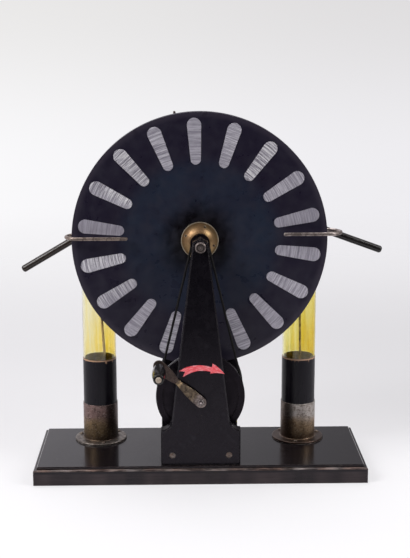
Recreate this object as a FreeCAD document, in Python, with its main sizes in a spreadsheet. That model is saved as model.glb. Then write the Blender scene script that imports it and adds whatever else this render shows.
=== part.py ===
import FreeCAD, Part
import Sketcher
import math
import os

# Hand-cranked influence machine with two counter-turning discs and two jars.
# Origin: centre of the base board's underside. +Z up, the crank side faces -Y, +X to the right.
# Driving dimensions in millimetres and degrees. A length along the axles is counted from the
# plane midway between the two discs, outwards.
DRIVING = {
    # Base board; its margins are left free beside, before and behind what stands on it
    "side_margin": 41.5,
    "end_margin": 8.5,
    "board_height": 18.5,
    "board_round": 1.6,
    "panel_height": 3.0,
    "panel_inset": 3.75,
    "panel_bevel": 1.0,
    # How far the discs' rims reach below the tops of the drive wheels
    "disc_overlap": 19.6,
    # Uprights
    "upright_space": 4.85,
    "upright_thickness": 14.0,
    "foot_half_width": 46.8,
    "foot_height": 42.5,
    "cove_radius": 13.0,
    "head_half_width": 8.7,
    "head_shoulder": 5.0,
    "gable_rise": 5.0,
    "edge_bevel": 1.5,
    # Block between the feet
    "block_end_wall": 2.5,
    "block_height": 20.0,
    # Screws
    "upright_screw_x": 33.4,
    "upright_screw_height": 11.4,
    "upright_screw_length": 30.0,
    "upright_screw_head": 3.8,
    "head_sink": 1.2,
    "head_height": 1.8,
    "foot_screw_spacing": 36.0,
    "foot_screw_head": 4.8,
    "foot_screw_grip": 16.0,
    "slot_width": 0.9,
    "slot_depth": 0.8,
    "wood_screw_radius": 2.1,
    # Disc axle
    "axle_radius": 4.0,
    "axle_stub": 2.0,
    "cap_wall": 2.2,
    "cap_bevel": 0.8,
    "cap_length": 6.0,
    # Discs
    "disc_radius": 150.0,
    "disc_thickness": 3.0,
    "disc_gap": 4.0,
    "disc_edge": 0.4,
    # Sectors
    "sector_count": 18.0,
    "sector_margin": 7.0,
    "sector_length": 53.8,
    "sector_inner_radius": 5.95,
    "sector_outer_radius": 8.25,
    "sector_thickness": 0.3,
    "sector_lean": 2.7,
    # Bosses and small pulleys
    "sleeve_wall": 1.95,
    "bell_radius": 22.0,
    "bell_rim": 1.2,
    "bell_neck_wall": 2.5,
    "bell_neck_length": 3.65,
    "boss_screw_margin": 4.5,
    "boss_screw_angle": 70.0,
    "boss_screw_head": 1.5,
    "boss_screw_rise": 1.8,
    "boss_screw_radius": 0.8,
    "boss_screw_depth": 2.2,
    "boss_screw_count": 4.0,
    "pulley_radius": 11.4,
    "pulley_groove_depth": 2.4,
    "pulley_width": 6.3,
    "washer_thickness": 1.0,
    "washer_width": 3.45,
    # Belts
    "belt_diameter": 2.8,
    "belt_swerve": 1.75,
    # Drive wheels
    "wheel_radius": 52.6,
    "wheel_above_block": 5.4,
    "wheel_groove_depth": 1.3,
    "wheel_width": 7.0,
    "wheel_web": 4.0,
    "wheel_rim_depth": 7.5,
    "wheel_hub_radius": 11.0,
    "wheel_hub_inner": 7.5,
    "wheel_edge": 0.6,
    # Crank
    "crank_axle_radius": 4.0,
    "bush_wall": 1.45,
    "bush_proud": 1.6,
    "bush_gap": 0.2,
    "crank_length": 64.8,
    "crank_lean": 137.7,
    "arm_thickness": 3.0,
    "arm_offset": 2.0,
    "arm_hub_wall": 2.2,
    "arm_hub_flank": 130.0,
    "arm_end_radius": 6.8,
    "arm_end_flank": 80.0,
    "arm_waist": 2.4,
    "arm_waist_place": 36.0,
    "arm_waist_round": 14.0,
    "arm_edge": 0.5,
    "crank_screw_head": 3.4,
    "crank_screw_radius": 1.8,
    "crank_screw_depth": 8.0,
    "collar_wall": 4.0,
    "collar_width": 5.0,
    "pin_collar": 1.2,
    "pin_collar_radius": 4.2,
    "grip_length": 51.6,
    "grip_bulge": 2.2,
    "grip_neck": 5.2,
    "grip_neck_round": 1.0,
    "grip_end": 6.2,
    "grip_end_round": 1.8,
    "grip_pin_radius": 2.5,
    "grip_pin_head": 3.3,
    "grip_pin_head_length": 2.0,
    # Jars; their axes stand this far inside the discs' rims, and behind the middle plane
    "jar_inset": 26.5,
    "jar_behind": 49.5,
    "glass_radius": 20.3,
    "glass_wall": 1.5,
    "lid_below_axle": 32.7,
    "glass_corner": 5.0,
    "coating_height": 103.3,
    "outer_coating_thickness": 0.25,
    "inner_coating_thickness": 0.3,
    "cup_wall": 0.8,
    "cup_height": 48.4,
    "cup_cove": 1.5,
    "flange_width": 10.59,
    "flange_screw_margin": 5.0,
    "flange_thickness": 2.5,
    "flange_screw_count": 3.0,
    "flange_screw_head": 2.6,
    "flange_screw_radius": 1.3,
    "flange_screw_depth": 14.0,
    "flange_screw_angle": 40.0,
    "lid_overhang": 1.5,
    "lid_thickness": 11.8,
    "lid_plug": 10.0,
    "lid_roof": 10.0,
    "lid_round": 1.5,
    "contact_rod_radius": 1.5,
    "contact_knob_radius": 3.0,
    "contact_rod_play": 0.7,
    "contact_lean_left": 3.4,
    "contact_lean_right": 1.0,
    "head_ball_radius": 9.0,
    "column_radius": 3.0,
    "column_foot_width": 6.0,
    "column_foot_height": 2.0,
    "column_cove": 2.0,
    "head_above_axle_left": 7.5,
    "head_above_axle_right": 12.0,
    # Collectors; each bends round at a reach beyond the discs' rims
    "collector_rod_radius": 2.1,
    "collector_drop": 3.5,
    "collector_stem_radius": 2.5,
    "collector_reach_left": 6.5,
    "collector_length_left": 72.5,
    "collector_reach_right": 16.0,
    "collector_length_right": 68.5,
    "stem_seat": 4.0,
    "comb_points": 6.0,
    "comb_first": 6.0,
    "comb_gap": 2.1,
    "comb_point_length": 6.0,
    "comb_point_radius": 0.5,
    "comb_point_pitch": 8.0,
    # Discharge rods
    "hub_radius": 6.5,
    "hub_length": 7.3,
    "hub_gap": 0.4,
    "hub_edge": 0.8,
    "pivot_radius": 2.5,
    "pivot_head_radius": 4.2,
    "pivot_head_length": 1.4,
    "rod_radius": 2.25,
    "spark_ball_radius": 9.0,
    "spark_ball_place_left": 15.8,
    "spark_ball_place_right": 6.0,
    "handle_radius": 4.4,
    "handle_inner": 30.0,
    "handle_outer": 108.3,
    "handle_step": 0.8,
    "handle_round": 3.0,
    "rod_tang": 46.0,
    "rod_angle_left": 30.5,
    "rod_angle_right": 20.0,
    # Neutraliser behind the rear disc
    "neutraliser_overhang": 1.0,
    "neutraliser_rod_radius": 1.5,
    "neutraliser_boss_wall": 4.95,
    "neutraliser_gap": 0.2,
    "neutraliser_foot": 5.0,
    "brush_from_tip": 25.0,
    "brush_to_cord": 8.7,
    "brush_clamp_wall": 0.57,
    "brush_clamp_length": 8.0,
    "brush_tube_radius": 1.3,
    "brush_length": 5.0,
    "brush_radius": 2.6,
    "brush_gap": 0.35,
    # Strip and bolts under the board
    "strip_width": 9.6,
    "strip_thickness": 0.8,
    "strip_groove": 2.0,
    "bolt_radius": 2.0,
    "bolt_head": 4.0,
    "bolt_head_height": 1.0,
    # Share of a rod's radius that rounds its tip
    "tip_round": 0.9,
    # Clearances
    "running_clearance": 0.05,
    "seat_clearance": 0.03,
    "cord_clearance": 0.3,
    "side_clearance": 0.1,
}

doc = FreeCAD.newDocument("influence_machine")
sheet = doc.addObject("Spreadsheet::Sheet", "sizes")
FULL_TURN = 360.0
FRONT, REAR = -1, 1
LEFT, RIGHT = -1, 1
UPWARDS = None
LONG = "long way round"
# Points this near count as on a plane, in mm, and a belt's volume matches its length by this share
NEAR = 1e-6
VOLUME_MATCH = 0.002


class Size:
    """A length or angle with its value and its formula over the sheet, so sums and shares keep both."""

    def __init__(self, value, formula):
        self.value = float(value)
        self.formula = formula

    @staticmethod
    def of(item):
        return item if isinstance(item, Size) else Size(item, "(" + repr(float(item)) + ")")

    def joined(self, other, sign, value):
        return Size(value, "(" + self.formula + " " + sign + " " + other.formula + ")")

    def __add__(self, other):
        other = Size.of(other)
        return self.joined(other, "+", self.value + other.value)

    def __sub__(self, other):
        other = Size.of(other)
        return self.joined(other, "-", self.value - other.value)

    def __mul__(self, other):
        other = Size.of(other)
        return self.joined(other, "*", self.value * other.value)

    def __truediv__(self, other):
        other = Size.of(other)
        return self.joined(other, "/", self.value / other.value)

    def __radd__(self, other):
        return Size.of(other) + self

    def __rsub__(self, other):
        return Size.of(other) - self

    def __rmul__(self, other):
        return Size.of(other) * self

    def __neg__(self):
        return Size.of(-1) * self


def root(size):
    return Size(math.sqrt(size.value), "sqrt(" + size.formula + ")")


def cosine(angle):
    return Size(math.cos(math.radians(angle.value)), "cos(" + angle.formula + ")")


def sine(angle):
    return Size(math.sin(math.radians(angle.value)), "sin(" + angle.formula + ")")


def arcsine(ratio):
    return Size(math.degrees(math.asin(ratio.value)), "(asin(" + ratio.formula + ") / (1 deg))")


def leg(hypotenuse, other):
    """The other leg of a right-angled triangle."""
    return root(hypotenuse * hypotenuse - other * other)


class Sizes:
    """The sheet's cells, read as attributes."""


S = Sizes()
for row, (alias, value) in enumerate(DRIVING.items(), start=1):
    cell = "B" + str(row)
    sheet.set("A" + str(row), alias.replace("_", " "))
    sheet.set(cell, repr(value))
    sheet.setAlias(cell, alias)
doc.recompute()
for alias in DRIVING:
    setattr(S, alias, Size(sheet.get(alias), "sizes." + alias))

# Places along the axles, from the middle plane outwards
DISC_IN = S.disc_gap / 2
DISC_OUT = DISC_IN + S.disc_thickness
BELL_RIM = DISC_OUT + S.bell_rim
SLEEVE_RADIUS = S.axle_radius + S.running_clearance + S.sleeve_wall
BELL_NECK = SLEEVE_RADIUS + S.bell_neck_wall
BELL_FLARE = S.bell_radius - BELL_NECK
PULLEY_IN = BELL_RIM + BELL_FLARE + S.bell_neck_length
PULLEY_OUT = PULLEY_IN + S.pulley_width
BELT_OFFSET = (PULLEY_IN + PULLEY_OUT) / 2
HALF_GAP = PULLEY_OUT + S.upright_space
UPRIGHT_OUT = HALF_GAP + S.upright_thickness
ARM_BACK = UPRIGHT_OUT + S.arm_offset
ARM_FRONT = ARM_BACK + S.arm_thickness

# Belts and grooves
BELT_RADIUS = S.belt_diameter / 2
GROOVE_RADIUS = BELT_RADIUS + S.cord_clearance
PULLEY_BELT = S.pulley_radius - S.pulley_groove_depth
WHEEL_BELT = S.wheel_radius - S.wheel_groove_depth
CRANK_AXLE_BORE = S.crank_axle_radius + S.seat_clearance

# Heights above the floor
TOP = S.board_height + S.panel_height
CRANK_HEIGHT = S.block_height + S.wheel_above_block + S.wheel_radius
CRANK_Z = TOP + CRANK_HEIGHT
AXLE_HEIGHT = CRANK_HEIGHT + S.wheel_radius - S.disc_overlap + S.disc_radius
AXLE_Z = TOP + AXLE_HEIGHT
GLASS_BOTTOM = TOP + S.flange_thickness
LID_TOP = AXLE_Z - S.lid_below_axle
GLASS_TOP = LID_TOP - S.lid_thickness

# Radii of a jar, from the glass outwards and inwards
GLASS_INNER = S.glass_radius - S.glass_wall
OUTER_COATING_IN = S.glass_radius + S.seat_clearance
OUTER_COATING_OUT = OUTER_COATING_IN + S.outer_coating_thickness
CUP_IN = OUTER_COATING_OUT + S.seat_clearance
CUP_OUT = CUP_IN + S.cup_wall
FLANGE_RADIUS = CUP_OUT + S.flange_width
FLANGE_SCREW_CIRCLE = FLANGE_RADIUS - S.flange_screw_margin

# Plan of the board: the front upright stands at its front, and the jars at its back
JAR_X = S.disc_radius - S.jar_inset
HALF_LENGTH = JAR_X + FLANGE_RADIUS + S.side_margin
HALF_DEPTH = (UPRIGHT_OUT + S.jar_behind + FLANGE_RADIUS) / 2 + S.end_margin
MIDDLE_Y = S.end_margin + UPRIGHT_OUT - HALF_DEPTH
JAR_Y = MIDDLE_Y + S.jar_behind

# Sectors, collectors and discharge rods
SECTOR_OUTER = S.disc_radius - S.sector_margin
SECTOR_INNER = SECTOR_OUTER - S.sector_length
SECTOR_FACE = DISC_OUT + S.sector_thickness
COLLECTOR_HALF = SECTOR_FACE + S.comb_gap + S.comb_point_length + S.collector_rod_radius
HUB_FRONT = S.head_ball_radius + S.hub_gap
HUB_REAR = HUB_FRONT + S.hub_length
HUB_CENTRE = (HUB_FRONT + HUB_REAR) / 2

# Lean of the neutraliser: its lower brush stands inside the crossed belt's loop, this far from the cord
BRUSH_CIRCLE = SECTOR_OUTER - S.brush_from_tip
BELT_SPAN = AXLE_Z - CRANK_Z
BELT_SPREAD = PULLEY_BELT + WHEEL_BELT
BELT_CROSSING = BELT_SPAN * PULLEY_BELT / BELT_SPREAD
LOOP_HALF = (BRUSH_CIRCLE - BELT_CROSSING) * BELT_SPREAD / leg(BELT_SPAN, BELT_SPREAD)
NEUTRALISER_LEAN = arcsine((LOOP_HALF - S.brush_to_cord) / BRUSH_CIRCLE)

nodes = []


def bind(item, name, size):
    item.setExpression(name, Size.of(size).formula)


def new_body(label, x=0.0, y=0.0, z=0.0, turn=None, about=(0, -1, 0)):
    """A body at a place, turned anticlockwise as the crank side shows it, or about another axis."""
    body = doc.addObject("PartDesign::Body", label)
    body.Label = label
    body.AllowCompound = True
    if turn is not None:
        body.Placement = FreeCAD.Placement(FreeCAD.Vector(), FreeCAD.Rotation(FreeCAD.Vector(*about), 1.0))
        bind(body, "Placement.Rotation.Angle", turn)
    bind(body, "Placement.Base.x", x)
    bind(body, "Placement.Base.y", y)
    bind(body, "Placement.Base.z", z)
    nodes.append(body)
    return body


def new_sketch(body, plane_role, name, shift=(0.0, 0.0, 0.0)):
    """A sketch on one of the body's origin planes, shifted along the sketch's own axes."""
    sketch = body.newObject("Sketcher::SketchObject", body.Label + "_" + name)
    plane = next(item for item in body.Origin.OriginFeatures if item.Role == plane_role)
    sketch.AttachmentSupport = [(plane, "")]
    sketch.MapMode = "FlatFace"
    for axis, amount in zip("xyz", shift):
        if isinstance(amount, Size) or amount:
            bind(sketch, "AttachmentOffset.Base." + axis, amount)
    return sketch


def constrain(sketch, kind, *parts, size):
    """Adds a constraint whose value follows the sheet."""
    number = sketch.addConstraint(Sketcher.Constraint(kind, *parts, size.value))
    sketch.setExpression("Constraints[" + str(number) + "]", size.formula)


def pin_point(sketch, geometry, position, x, y):
    """Holds a point at x, y from the sketch's origin."""
    for axis, line, size in (("DistanceX", -2, x), ("DistanceY", -1, y)):
        size = Size.of(size)
        if abs(size.value) < NEAR:
            sketch.addConstraint(Sketcher.Constraint("PointOnObject", geometry, position, line))
        else:
            constrain(sketch, axis, -1, 1, geometry, position, size=size)


def arc_between(start, end, radius, left_turn, long_way=False):
    """The arc from start to end, the short or the long way round. It turns left or right on its way."""
    chord = end - start
    middle = (start + end) / 2
    height = math.sqrt(max(radius * radius - chord.Length ** 2 / 4, 0.0))
    side = FreeCAD.Vector(-chord.y, chord.x, 0).normalize() * (height if left_turn != long_way else -height)
    centre = middle + side
    first, last = (start, end) if left_turn else (end, start)
    angles = [math.atan2(point.y - centre.y, point.x - centre.x) for point in (first, last)]
    if angles[1] <= angles[0]:
        angles[1] += 2 * math.pi
    circle = Part.Circle(centre, FreeCAD.Vector(0, 0, 1), radius)
    return Part.ArcOfCircle(circle, angles[0], angles[1])


def outline(sketch, points, arcs=None):
    """A closed outline. arcs gives, by its first point's number, a radius, whether it turns left, and LONG."""
    arcs = arcs or {}
    points = [(Size.of(x), Size.of(y)) for x, y in points]
    vectors = [FreeCAD.Vector(x.value, y.value, 0) for x, y in points]
    count = len(points)
    made = []
    for index in range(count):
        start, end = vectors[index], vectors[(index + 1) % count]
        if index in arcs:
            radius, left_turn = Size.of(arcs[index][0]), arcs[index][1]
            curve = arc_between(start, end, radius.value, left_turn, LONG in arcs[index][2:])
            geometry = sketch.addGeometry(curve, False)
            made.append((geometry, 1, 2, radius) if left_turn else (geometry, 2, 1, radius))
        else:
            geometry = sketch.addGeometry(Part.LineSegment(start, end), False)
            made.append((geometry, 1, 2, None))
    for index, (geometry, first, last, radius) in enumerate(made):
        following, following_first = made[(index + 1) % count][:2]
        sketch.addConstraint(Sketcher.Constraint("Coincident", geometry, last, following, following_first))
        pin_point(sketch, geometry, first, *points[index])
        if radius is not None:
            constrain(sketch, "Radius", geometry, size=radius)


def circle(sketch, x, y, radius):
    centre = FreeCAD.Vector(Size.of(x).value, Size.of(y).value, 0)
    geometry = sketch.addGeometry(Part.Circle(centre, FreeCAD.Vector(0, 0, 1), Size.of(radius).value), False)
    pin_point(sketch, geometry, 3, x, y)
    constrain(sketch, "Radius", geometry, size=Size.of(radius))


def feature(body, kind, name, **values):
    """A feature of the body, its sizes bound and its other settings set."""
    made = body.newObject("PartDesign::" + kind, body.Label + "_" + name)
    for key, value in values.items():
        if isinstance(value, Size):
            bind(made, key, value)
        else:
            setattr(made, key, value)
    body.Tip = made
    return made


def revolve(body, sketch, name, axis="V_Axis"):
    return feature(body, "Revolution", name, Profile=sketch, ReferenceAxis=(sketch, [axis]), Angle=FULL_TURN)


def pad(body, sketch, name, length, backwards=False):
    return feature(body, "Pad", name, Profile=sketch, Length=Size.of(length), Reversed=backwards)


def pocket(body, sketch, name, length, backwards=False):
    """Cuts the sketch into the body and checks that something was cut."""
    doc.recompute()
    before = body.Shape.Volume
    made = feature(body, "Pocket", name, Profile=sketch, Length=Size.of(length), Reversed=backwards)
    doc.recompute()
    if not body.Shape.Volume < before - NEAR:
        raise ValueError(body.Label + ": " + name + " cuts nothing")
    return made


def polar(body, sources, name, count, axis_role="Y_Axis"):
    """Repeats features evenly round one of the body's own axes."""
    axis = next(item for item in body.Origin.OriginFeatures if item.Role == axis_role)
    times = int(count.value)
    return feature(
        body, "PolarPattern", name, Originals=sources, Axis=(axis, [""]), Angle=FULL_TURN, Occurrences=times
    )


def mirror(body, sources, name, plane_role="YZ_Plane"):
    plane = next(item for item in body.Origin.OriginFeatures if item.Role == plane_role)
    return feature(body, "Mirrored", name, Originals=sources, MirrorPlane=(plane, [""]))


def edges_where(shape, wanted, middle_wanted):
    """Names of the edges whose points meet the first condition and whose middle meets the second."""
    names = []
    for number, edge in enumerate(shape.Edges, start=1):
        middle = edge.valueAt((edge.FirstParameter + edge.LastParameter) / 2)
        points = [vertex.Point for vertex in edge.Vertexes] + [middle]
        if all(wanted(point) for point in points) and middle_wanted(middle):
            names.append("Edge" + str(number))
    return names


def dress(body, kind, name, base, wanted, middle_wanted=lambda point: True, **sizes):
    """A fillet or chamfer on the edges that the conditions pick."""
    doc.recompute()
    picked = edges_where(base.Shape, wanted, middle_wanted)
    return feature(body, kind, name, Base=(base, picked), **sizes)


def turned(label, points, arcs=None, x=0.0, z=AXLE_Z, side=REAR):
    """A piece turned about an axle along Y. Its points are distance from the middle plane, and radius."""
    body = new_body(label, x, MIDDLE_Y, z)
    sketch = new_sketch(body, "YZ_Plane", "outline")
    if side == FRONT:
        points = [(-Size.of(place), radius) for place, radius in points]
        arcs = {index: (radius, not left) for index, (radius, left) in (arcs or {}).items()}
    outline(sketch, points, arcs)
    revolve(body, sketch, "turned", "H_Axis")
    return body


def stood(label, side, points, arcs=None):
    """A jar piece turned about the jar's upright axis. Its points are radius and height above the floor."""
    body = new_body(label, side * JAR_X, JAR_Y, 0.0)
    sketch = new_sketch(body, "XZ_Plane", "outline")
    outline(sketch, points, arcs)
    revolve(body, sketch, "turned")
    return body


def draw_screw(sketch, side, tip, seat, top, shank, head):
    """Half outline of a domed screw from its tip to the top of its head: along Y on a side, or upwards."""
    rim = (top - seat) / 3
    dome = (top - seat) - rim
    dome_radius = (head * head + dome * dome) / (dome * 2)
    points = [(tip, 0.0), (tip, shank), (seat, shank), (seat, head), (seat + rim, head), (top, 0.0)]
    if side is UPWARDS:
        outline(sketch, [(radius, place) for place, radius in points], {4: (dome_radius, True)})
    else:
        points = [(side * Size.of(place), radius) for place, radius in points]
        outline(sketch, points, {4: (dome_radius, side == FRONT)})


def flange_screw_places(side, centre_x):
    """Where the three screws of a jar's cup stand. Left and right mirror each other."""
    for number in range(int(S.flange_screw_count.value)):
        angle = S.flange_screw_angle + Size.of(number * FULL_TURN) / S.flange_screw_count
        yield centre_x - side * FLANGE_SCREW_CIRCLE * cosine(angle), FLANGE_SCREW_CIRCLE * sine(angle)


def centred_box(sketch, x, y, half_x, half_y):
    """A rectangle about a centre."""
    corners = ((-1, -1), (1, -1), (1, 1), (-1, 1))
    outline(sketch, [(x + right * half_x, y + up * half_y) for right, up in corners])


# Base board with its raised panel, the groove for the strip and the holes for its fasteners
def make_base():
    body = new_body("base_board")
    board = new_sketch(body, "XY_Plane", "board")
    centred_box(board, 0.0, 0.0, HALF_LENGTH, HALF_DEPTH)
    slab = pad(body, board, "slab", S.board_height)
    height = S.board_height.value
    dress(body, "Fillet", "rounding", slab, lambda p: abs(p.z - height) < NEAR, Radius=S.board_round)
    panel = new_sketch(body, "XY_Plane", "panel", (0.0, 0.0, S.board_height))
    centred_box(panel, 0.0, 0.0, HALF_LENGTH - S.panel_inset, HALF_DEPTH - S.panel_inset)
    raised = pad(body, panel, "raised", S.panel_height)
    top = TOP.value
    dress(body, "Chamfer", "bevel", raised, lambda p: abs(p.z - top) < NEAR, Size=S.panel_bevel)
    groove = new_sketch(body, "XY_Plane", "strip_groove")
    wide = S.strip_width / 2 + S.side_clearance
    centred_box(groove, 0.0, JAR_Y, JAR_X + wide, wide)
    pocket(body, groove, "groove", S.strip_groove, backwards=True)
    bores = new_sketch(body, "XY_Plane", "bores")
    sinks = new_sketch(body, "XY_Plane", "sinks")
    for side in (LEFT, RIGHT):
        circle(bores, side * JAR_X, JAR_Y, S.bolt_radius + S.seat_clearance)
    for end in (FRONT, REAR):
        place_y = MIDDLE_Y + end * S.foot_screw_spacing / 2
        circle(bores, 0.0, place_y, S.wood_screw_radius + S.seat_clearance)
        circle(sinks, 0.0, place_y, S.foot_screw_head + S.seat_clearance)
    pocket(body, bores, "bored", TOP, backwards=True)
    pocket(body, sinks, "sunk", S.head_height + S.side_clearance, backwards=True)
    pilots = new_sketch(body, "XY_Plane", "pilots", (0.0, 0.0, TOP))
    for side in (LEFT, RIGHT):
        for x, y in flange_screw_places(side, side * JAR_X):
            circle(pilots, x, JAR_Y + y, S.flange_screw_radius + S.seat_clearance)
    pocket(body, pilots, "pilots_bored", S.flange_screw_depth + S.side_clearance)


# Upright: foot, two coves, straight taper and gable head, with its bevel on the outer face
def make_upright(side, label):
    body = new_body(label, 0.0, MIDDLE_Y + side * HALF_GAP, TOP)
    face = new_sketch(body, "XZ_Plane", "face")
    shoulder = AXLE_HEIGHT + S.head_shoulder
    right = [
        (S.foot_half_width, Size.of(0)),
        (S.foot_half_width, S.foot_height),
        (S.foot_half_width - S.cove_radius, S.foot_height + S.cove_radius),
        (S.head_half_width, shoulder),
    ]
    left = [(-x, z) for x, z in reversed(right)]
    cove = (S.cove_radius, False)
    outline(face, right + [(Size.of(0), shoulder + S.gable_rise)] + left, {1: cove, 6: cove})
    slab = pad(body, face, "slab", S.upright_thickness, backwards=side == REAR)
    outer = side * S.upright_thickness.value
    dress(
        body,
        "Chamfer",
        "bevel",
        slab,
        lambda p: abs(p.y - outer) < NEAR,
        lambda p: p.z > NEAR,
        Size=S.edge_bevel,
    )
    bores = new_sketch(body, "XZ_Plane", "bores")
    sinks = new_sketch(body, "XZ_Plane", "sinks", (0.0, 0.0, -side * S.upright_thickness))
    circle(bores, 0.0, AXLE_HEIGHT, S.axle_radius + S.seat_clearance)
    bush_radius = S.crank_axle_radius + S.running_clearance + S.bush_wall
    circle(bores, 0.0, CRANK_HEIGHT, bush_radius + S.seat_clearance)
    for end in (LEFT, RIGHT):
        place = (end * S.upright_screw_x, S.upright_screw_height)
        circle(bores, *place, S.wood_screw_radius + S.seat_clearance)
        circle(sinks, *place, S.upright_screw_head + S.seat_clearance)
    pocket(body, bores, "bored", S.upright_thickness, backwards=side == FRONT)
    pocket(body, sinks, "sunk", S.head_sink, backwards=side == REAR)


# Pair of slotted, domed screws through an upright's foot into the block
def make_upright_screws(side, label):
    body = new_body(label, 0.0, MIDDLE_Y + side * (UPRIGHT_OUT - S.head_sink), TOP + S.upright_screw_height)
    sketch = new_sketch(body, "YZ_Plane", "outline", (0.0, 0.0, S.upright_screw_x))
    tip = -S.upright_screw_length
    draw_screw(sketch, side, tip, Size.of(0), S.head_height, S.wood_screw_radius, S.upright_screw_head)
    screw = revolve(body, sketch, "screw", "H_Axis")
    slot = new_sketch(body, "XZ_Plane", "slot_outline", (0.0, 0.0, -side * S.head_height))
    centred_box(slot, S.upright_screw_x, 0.0, S.upright_screw_head, S.slot_width / 2)
    cut = pocket(body, slot, "slot", S.slot_depth, backwards=side == REAR)
    mirror(body, [screw, cut], "pair")


# Block between the feet, with pilot holes for the screws that hold it
def make_foot_block():
    body = new_body("foot_block", 0.0, MIDDLE_Y, TOP)
    plan = new_sketch(body, "XY_Plane", "plan")
    centred_box(plan, 0.0, 0.0, S.upright_screw_x + S.wood_screw_radius + S.block_end_wall, HALF_GAP)
    pad(body, plan, "block", S.block_height)
    bore = S.wood_screw_radius + S.seat_clearance
    depth = S.upright_screw_length - S.upright_thickness + S.head_sink + S.side_clearance
    for side, name in ((FRONT, "front_pilots"), (REAR, "rear_pilots")):
        pilots = new_sketch(body, "XZ_Plane", name, (0.0, 0.0, -side * HALF_GAP))
        for end in (LEFT, RIGHT):
            circle(pilots, end * S.upright_screw_x, S.upright_screw_height, bore)
        pocket(body, pilots, name + "_bored", depth, backwards=side == REAR)
    pilots = new_sketch(body, "XY_Plane", "foot_pilots")
    for end in (FRONT, REAR):
        circle(pilots, 0.0, end * S.foot_screw_spacing / 2, bore)
    pocket(body, pilots, "foot_pilots_bored", S.foot_screw_grip + S.side_clearance, backwards=True)


# Pair of screws from under the board into the block
def make_foot_screws():
    body = new_body("foot_screws", 0.0, MIDDLE_Y, 0.0)
    sketch = new_sketch(body, "XZ_Plane", "outline", (0.0, 0.0, S.foot_screw_spacing / 2))
    tip = TOP + S.foot_screw_grip
    low = S.side_clearance
    outline(
        sketch,
        [
            (0.0, low),
            (S.foot_screw_head, low),
            (S.foot_screw_head, S.head_height),
            (S.wood_screw_radius, S.head_height),
            (S.wood_screw_radius, tip),
            (0.0, tip),
        ],
    )
    screw = revolve(body, sketch, "screw")
    mirror(body, [screw], "pair", "XZ_Plane")


# Brass strip in its groove under the board, and the bolts that join it to the two cups
def make_strip():
    body = new_body("link_strip", 0.0, JAR_Y, S.strip_groove - S.strip_thickness)
    plan = new_sketch(body, "XY_Plane", "plan")
    centred_box(plan, 0.0, 0.0, JAR_X + S.strip_width / 2, S.strip_width / 2)
    pad(body, plan, "strip", S.strip_thickness)
    holes = new_sketch(body, "XY_Plane", "holes")
    for side in (LEFT, RIGHT):
        circle(holes, side * JAR_X, 0.0, S.bolt_radius + S.seat_clearance)
    pocket(body, holes, "bored", S.strip_thickness, backwards=True)
    bolts = new_body("link_bolts", 0.0, JAR_Y, 0.0)
    sketch = new_sketch(bolts, "XZ_Plane", "outline", (JAR_X, 0.0, 0.0))
    seat = S.strip_groove - S.strip_thickness
    low = seat - S.bolt_head_height
    tip = GLASS_BOTTOM - S.side_clearance
    outline(
        sketch,
        [
            (0.0, low),
            (S.bolt_head, low),
            (S.bolt_head, seat),
            (S.bolt_radius, seat),
            (S.bolt_radius, tip),
            (0.0, tip),
        ],
    )
    bolt = revolve(bolts, sketch, "bolt")
    mirror(bolts, [bolt], "pair")


# Fixed axle, its two end caps, and the washers that space the discs
def make_disc_axle():
    stub = UPRIGHT_OUT + S.axle_stub
    turned("fixed_axle", [(-stub, 0.0), (-stub, S.axle_radius), (stub, S.axle_radius), (stub, 0.0)])
    cap_end = UPRIGHT_OUT + S.cap_length
    cap_radius = S.axle_radius + S.cap_wall
    inner = S.axle_radius + S.seat_clearance
    cap = [
        (UPRIGHT_OUT, inner),
        (UPRIGHT_OUT, cap_radius),
        (cap_end - S.cap_bevel, cap_radius),
        (cap_end, cap_radius - S.cap_bevel),
        (cap_end, 0.0),
        (stub + S.side_clearance, 0.0),
        (stub + S.side_clearance, inner),
    ]
    turned("axle_cap_front", cap, side=FRONT)
    turned("axle_cap_rear", cap, side=REAR)
    body = new_body("axle_washers", 0.0, MIDDLE_Y, AXLE_Z)
    sketch = new_sketch(body, "YZ_Plane", "outline")
    inner = S.axle_radius + S.running_clearance
    washer_radius = inner + S.washer_width
    half = S.washer_thickness / 2
    outline(sketch, [(-half, inner), (half, inner), (half, washer_radius), (-half, washer_radius)])
    first, last = -(HALF_GAP - S.side_clearance), -(PULLEY_OUT + S.side_clearance)
    outline(sketch, [(first, inner), (last, inner), (last, washer_radius), (first, washer_radius)])
    revolve(body, sketch, "turned", "H_Axis")


def ring_of_holes(body, side, name, place, radius, depth, outwards):
    """Cuts the boss screws' holes, from a plane at a distance from the middle, outwards or inwards."""
    sketch = new_sketch(body, "XZ_Plane", name, (0.0, 0.0, -side * place))
    reach = S.bell_radius - S.boss_screw_margin
    circle(sketch, reach * cosine(S.boss_screw_angle), reach * sine(S.boss_screw_angle), radius)
    cut = pocket(body, sketch, name + "_cut", depth, backwards=(side == FRONT) == outwards)
    polar(body, [cut], name + "_ring", S.boss_screw_count)


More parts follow.
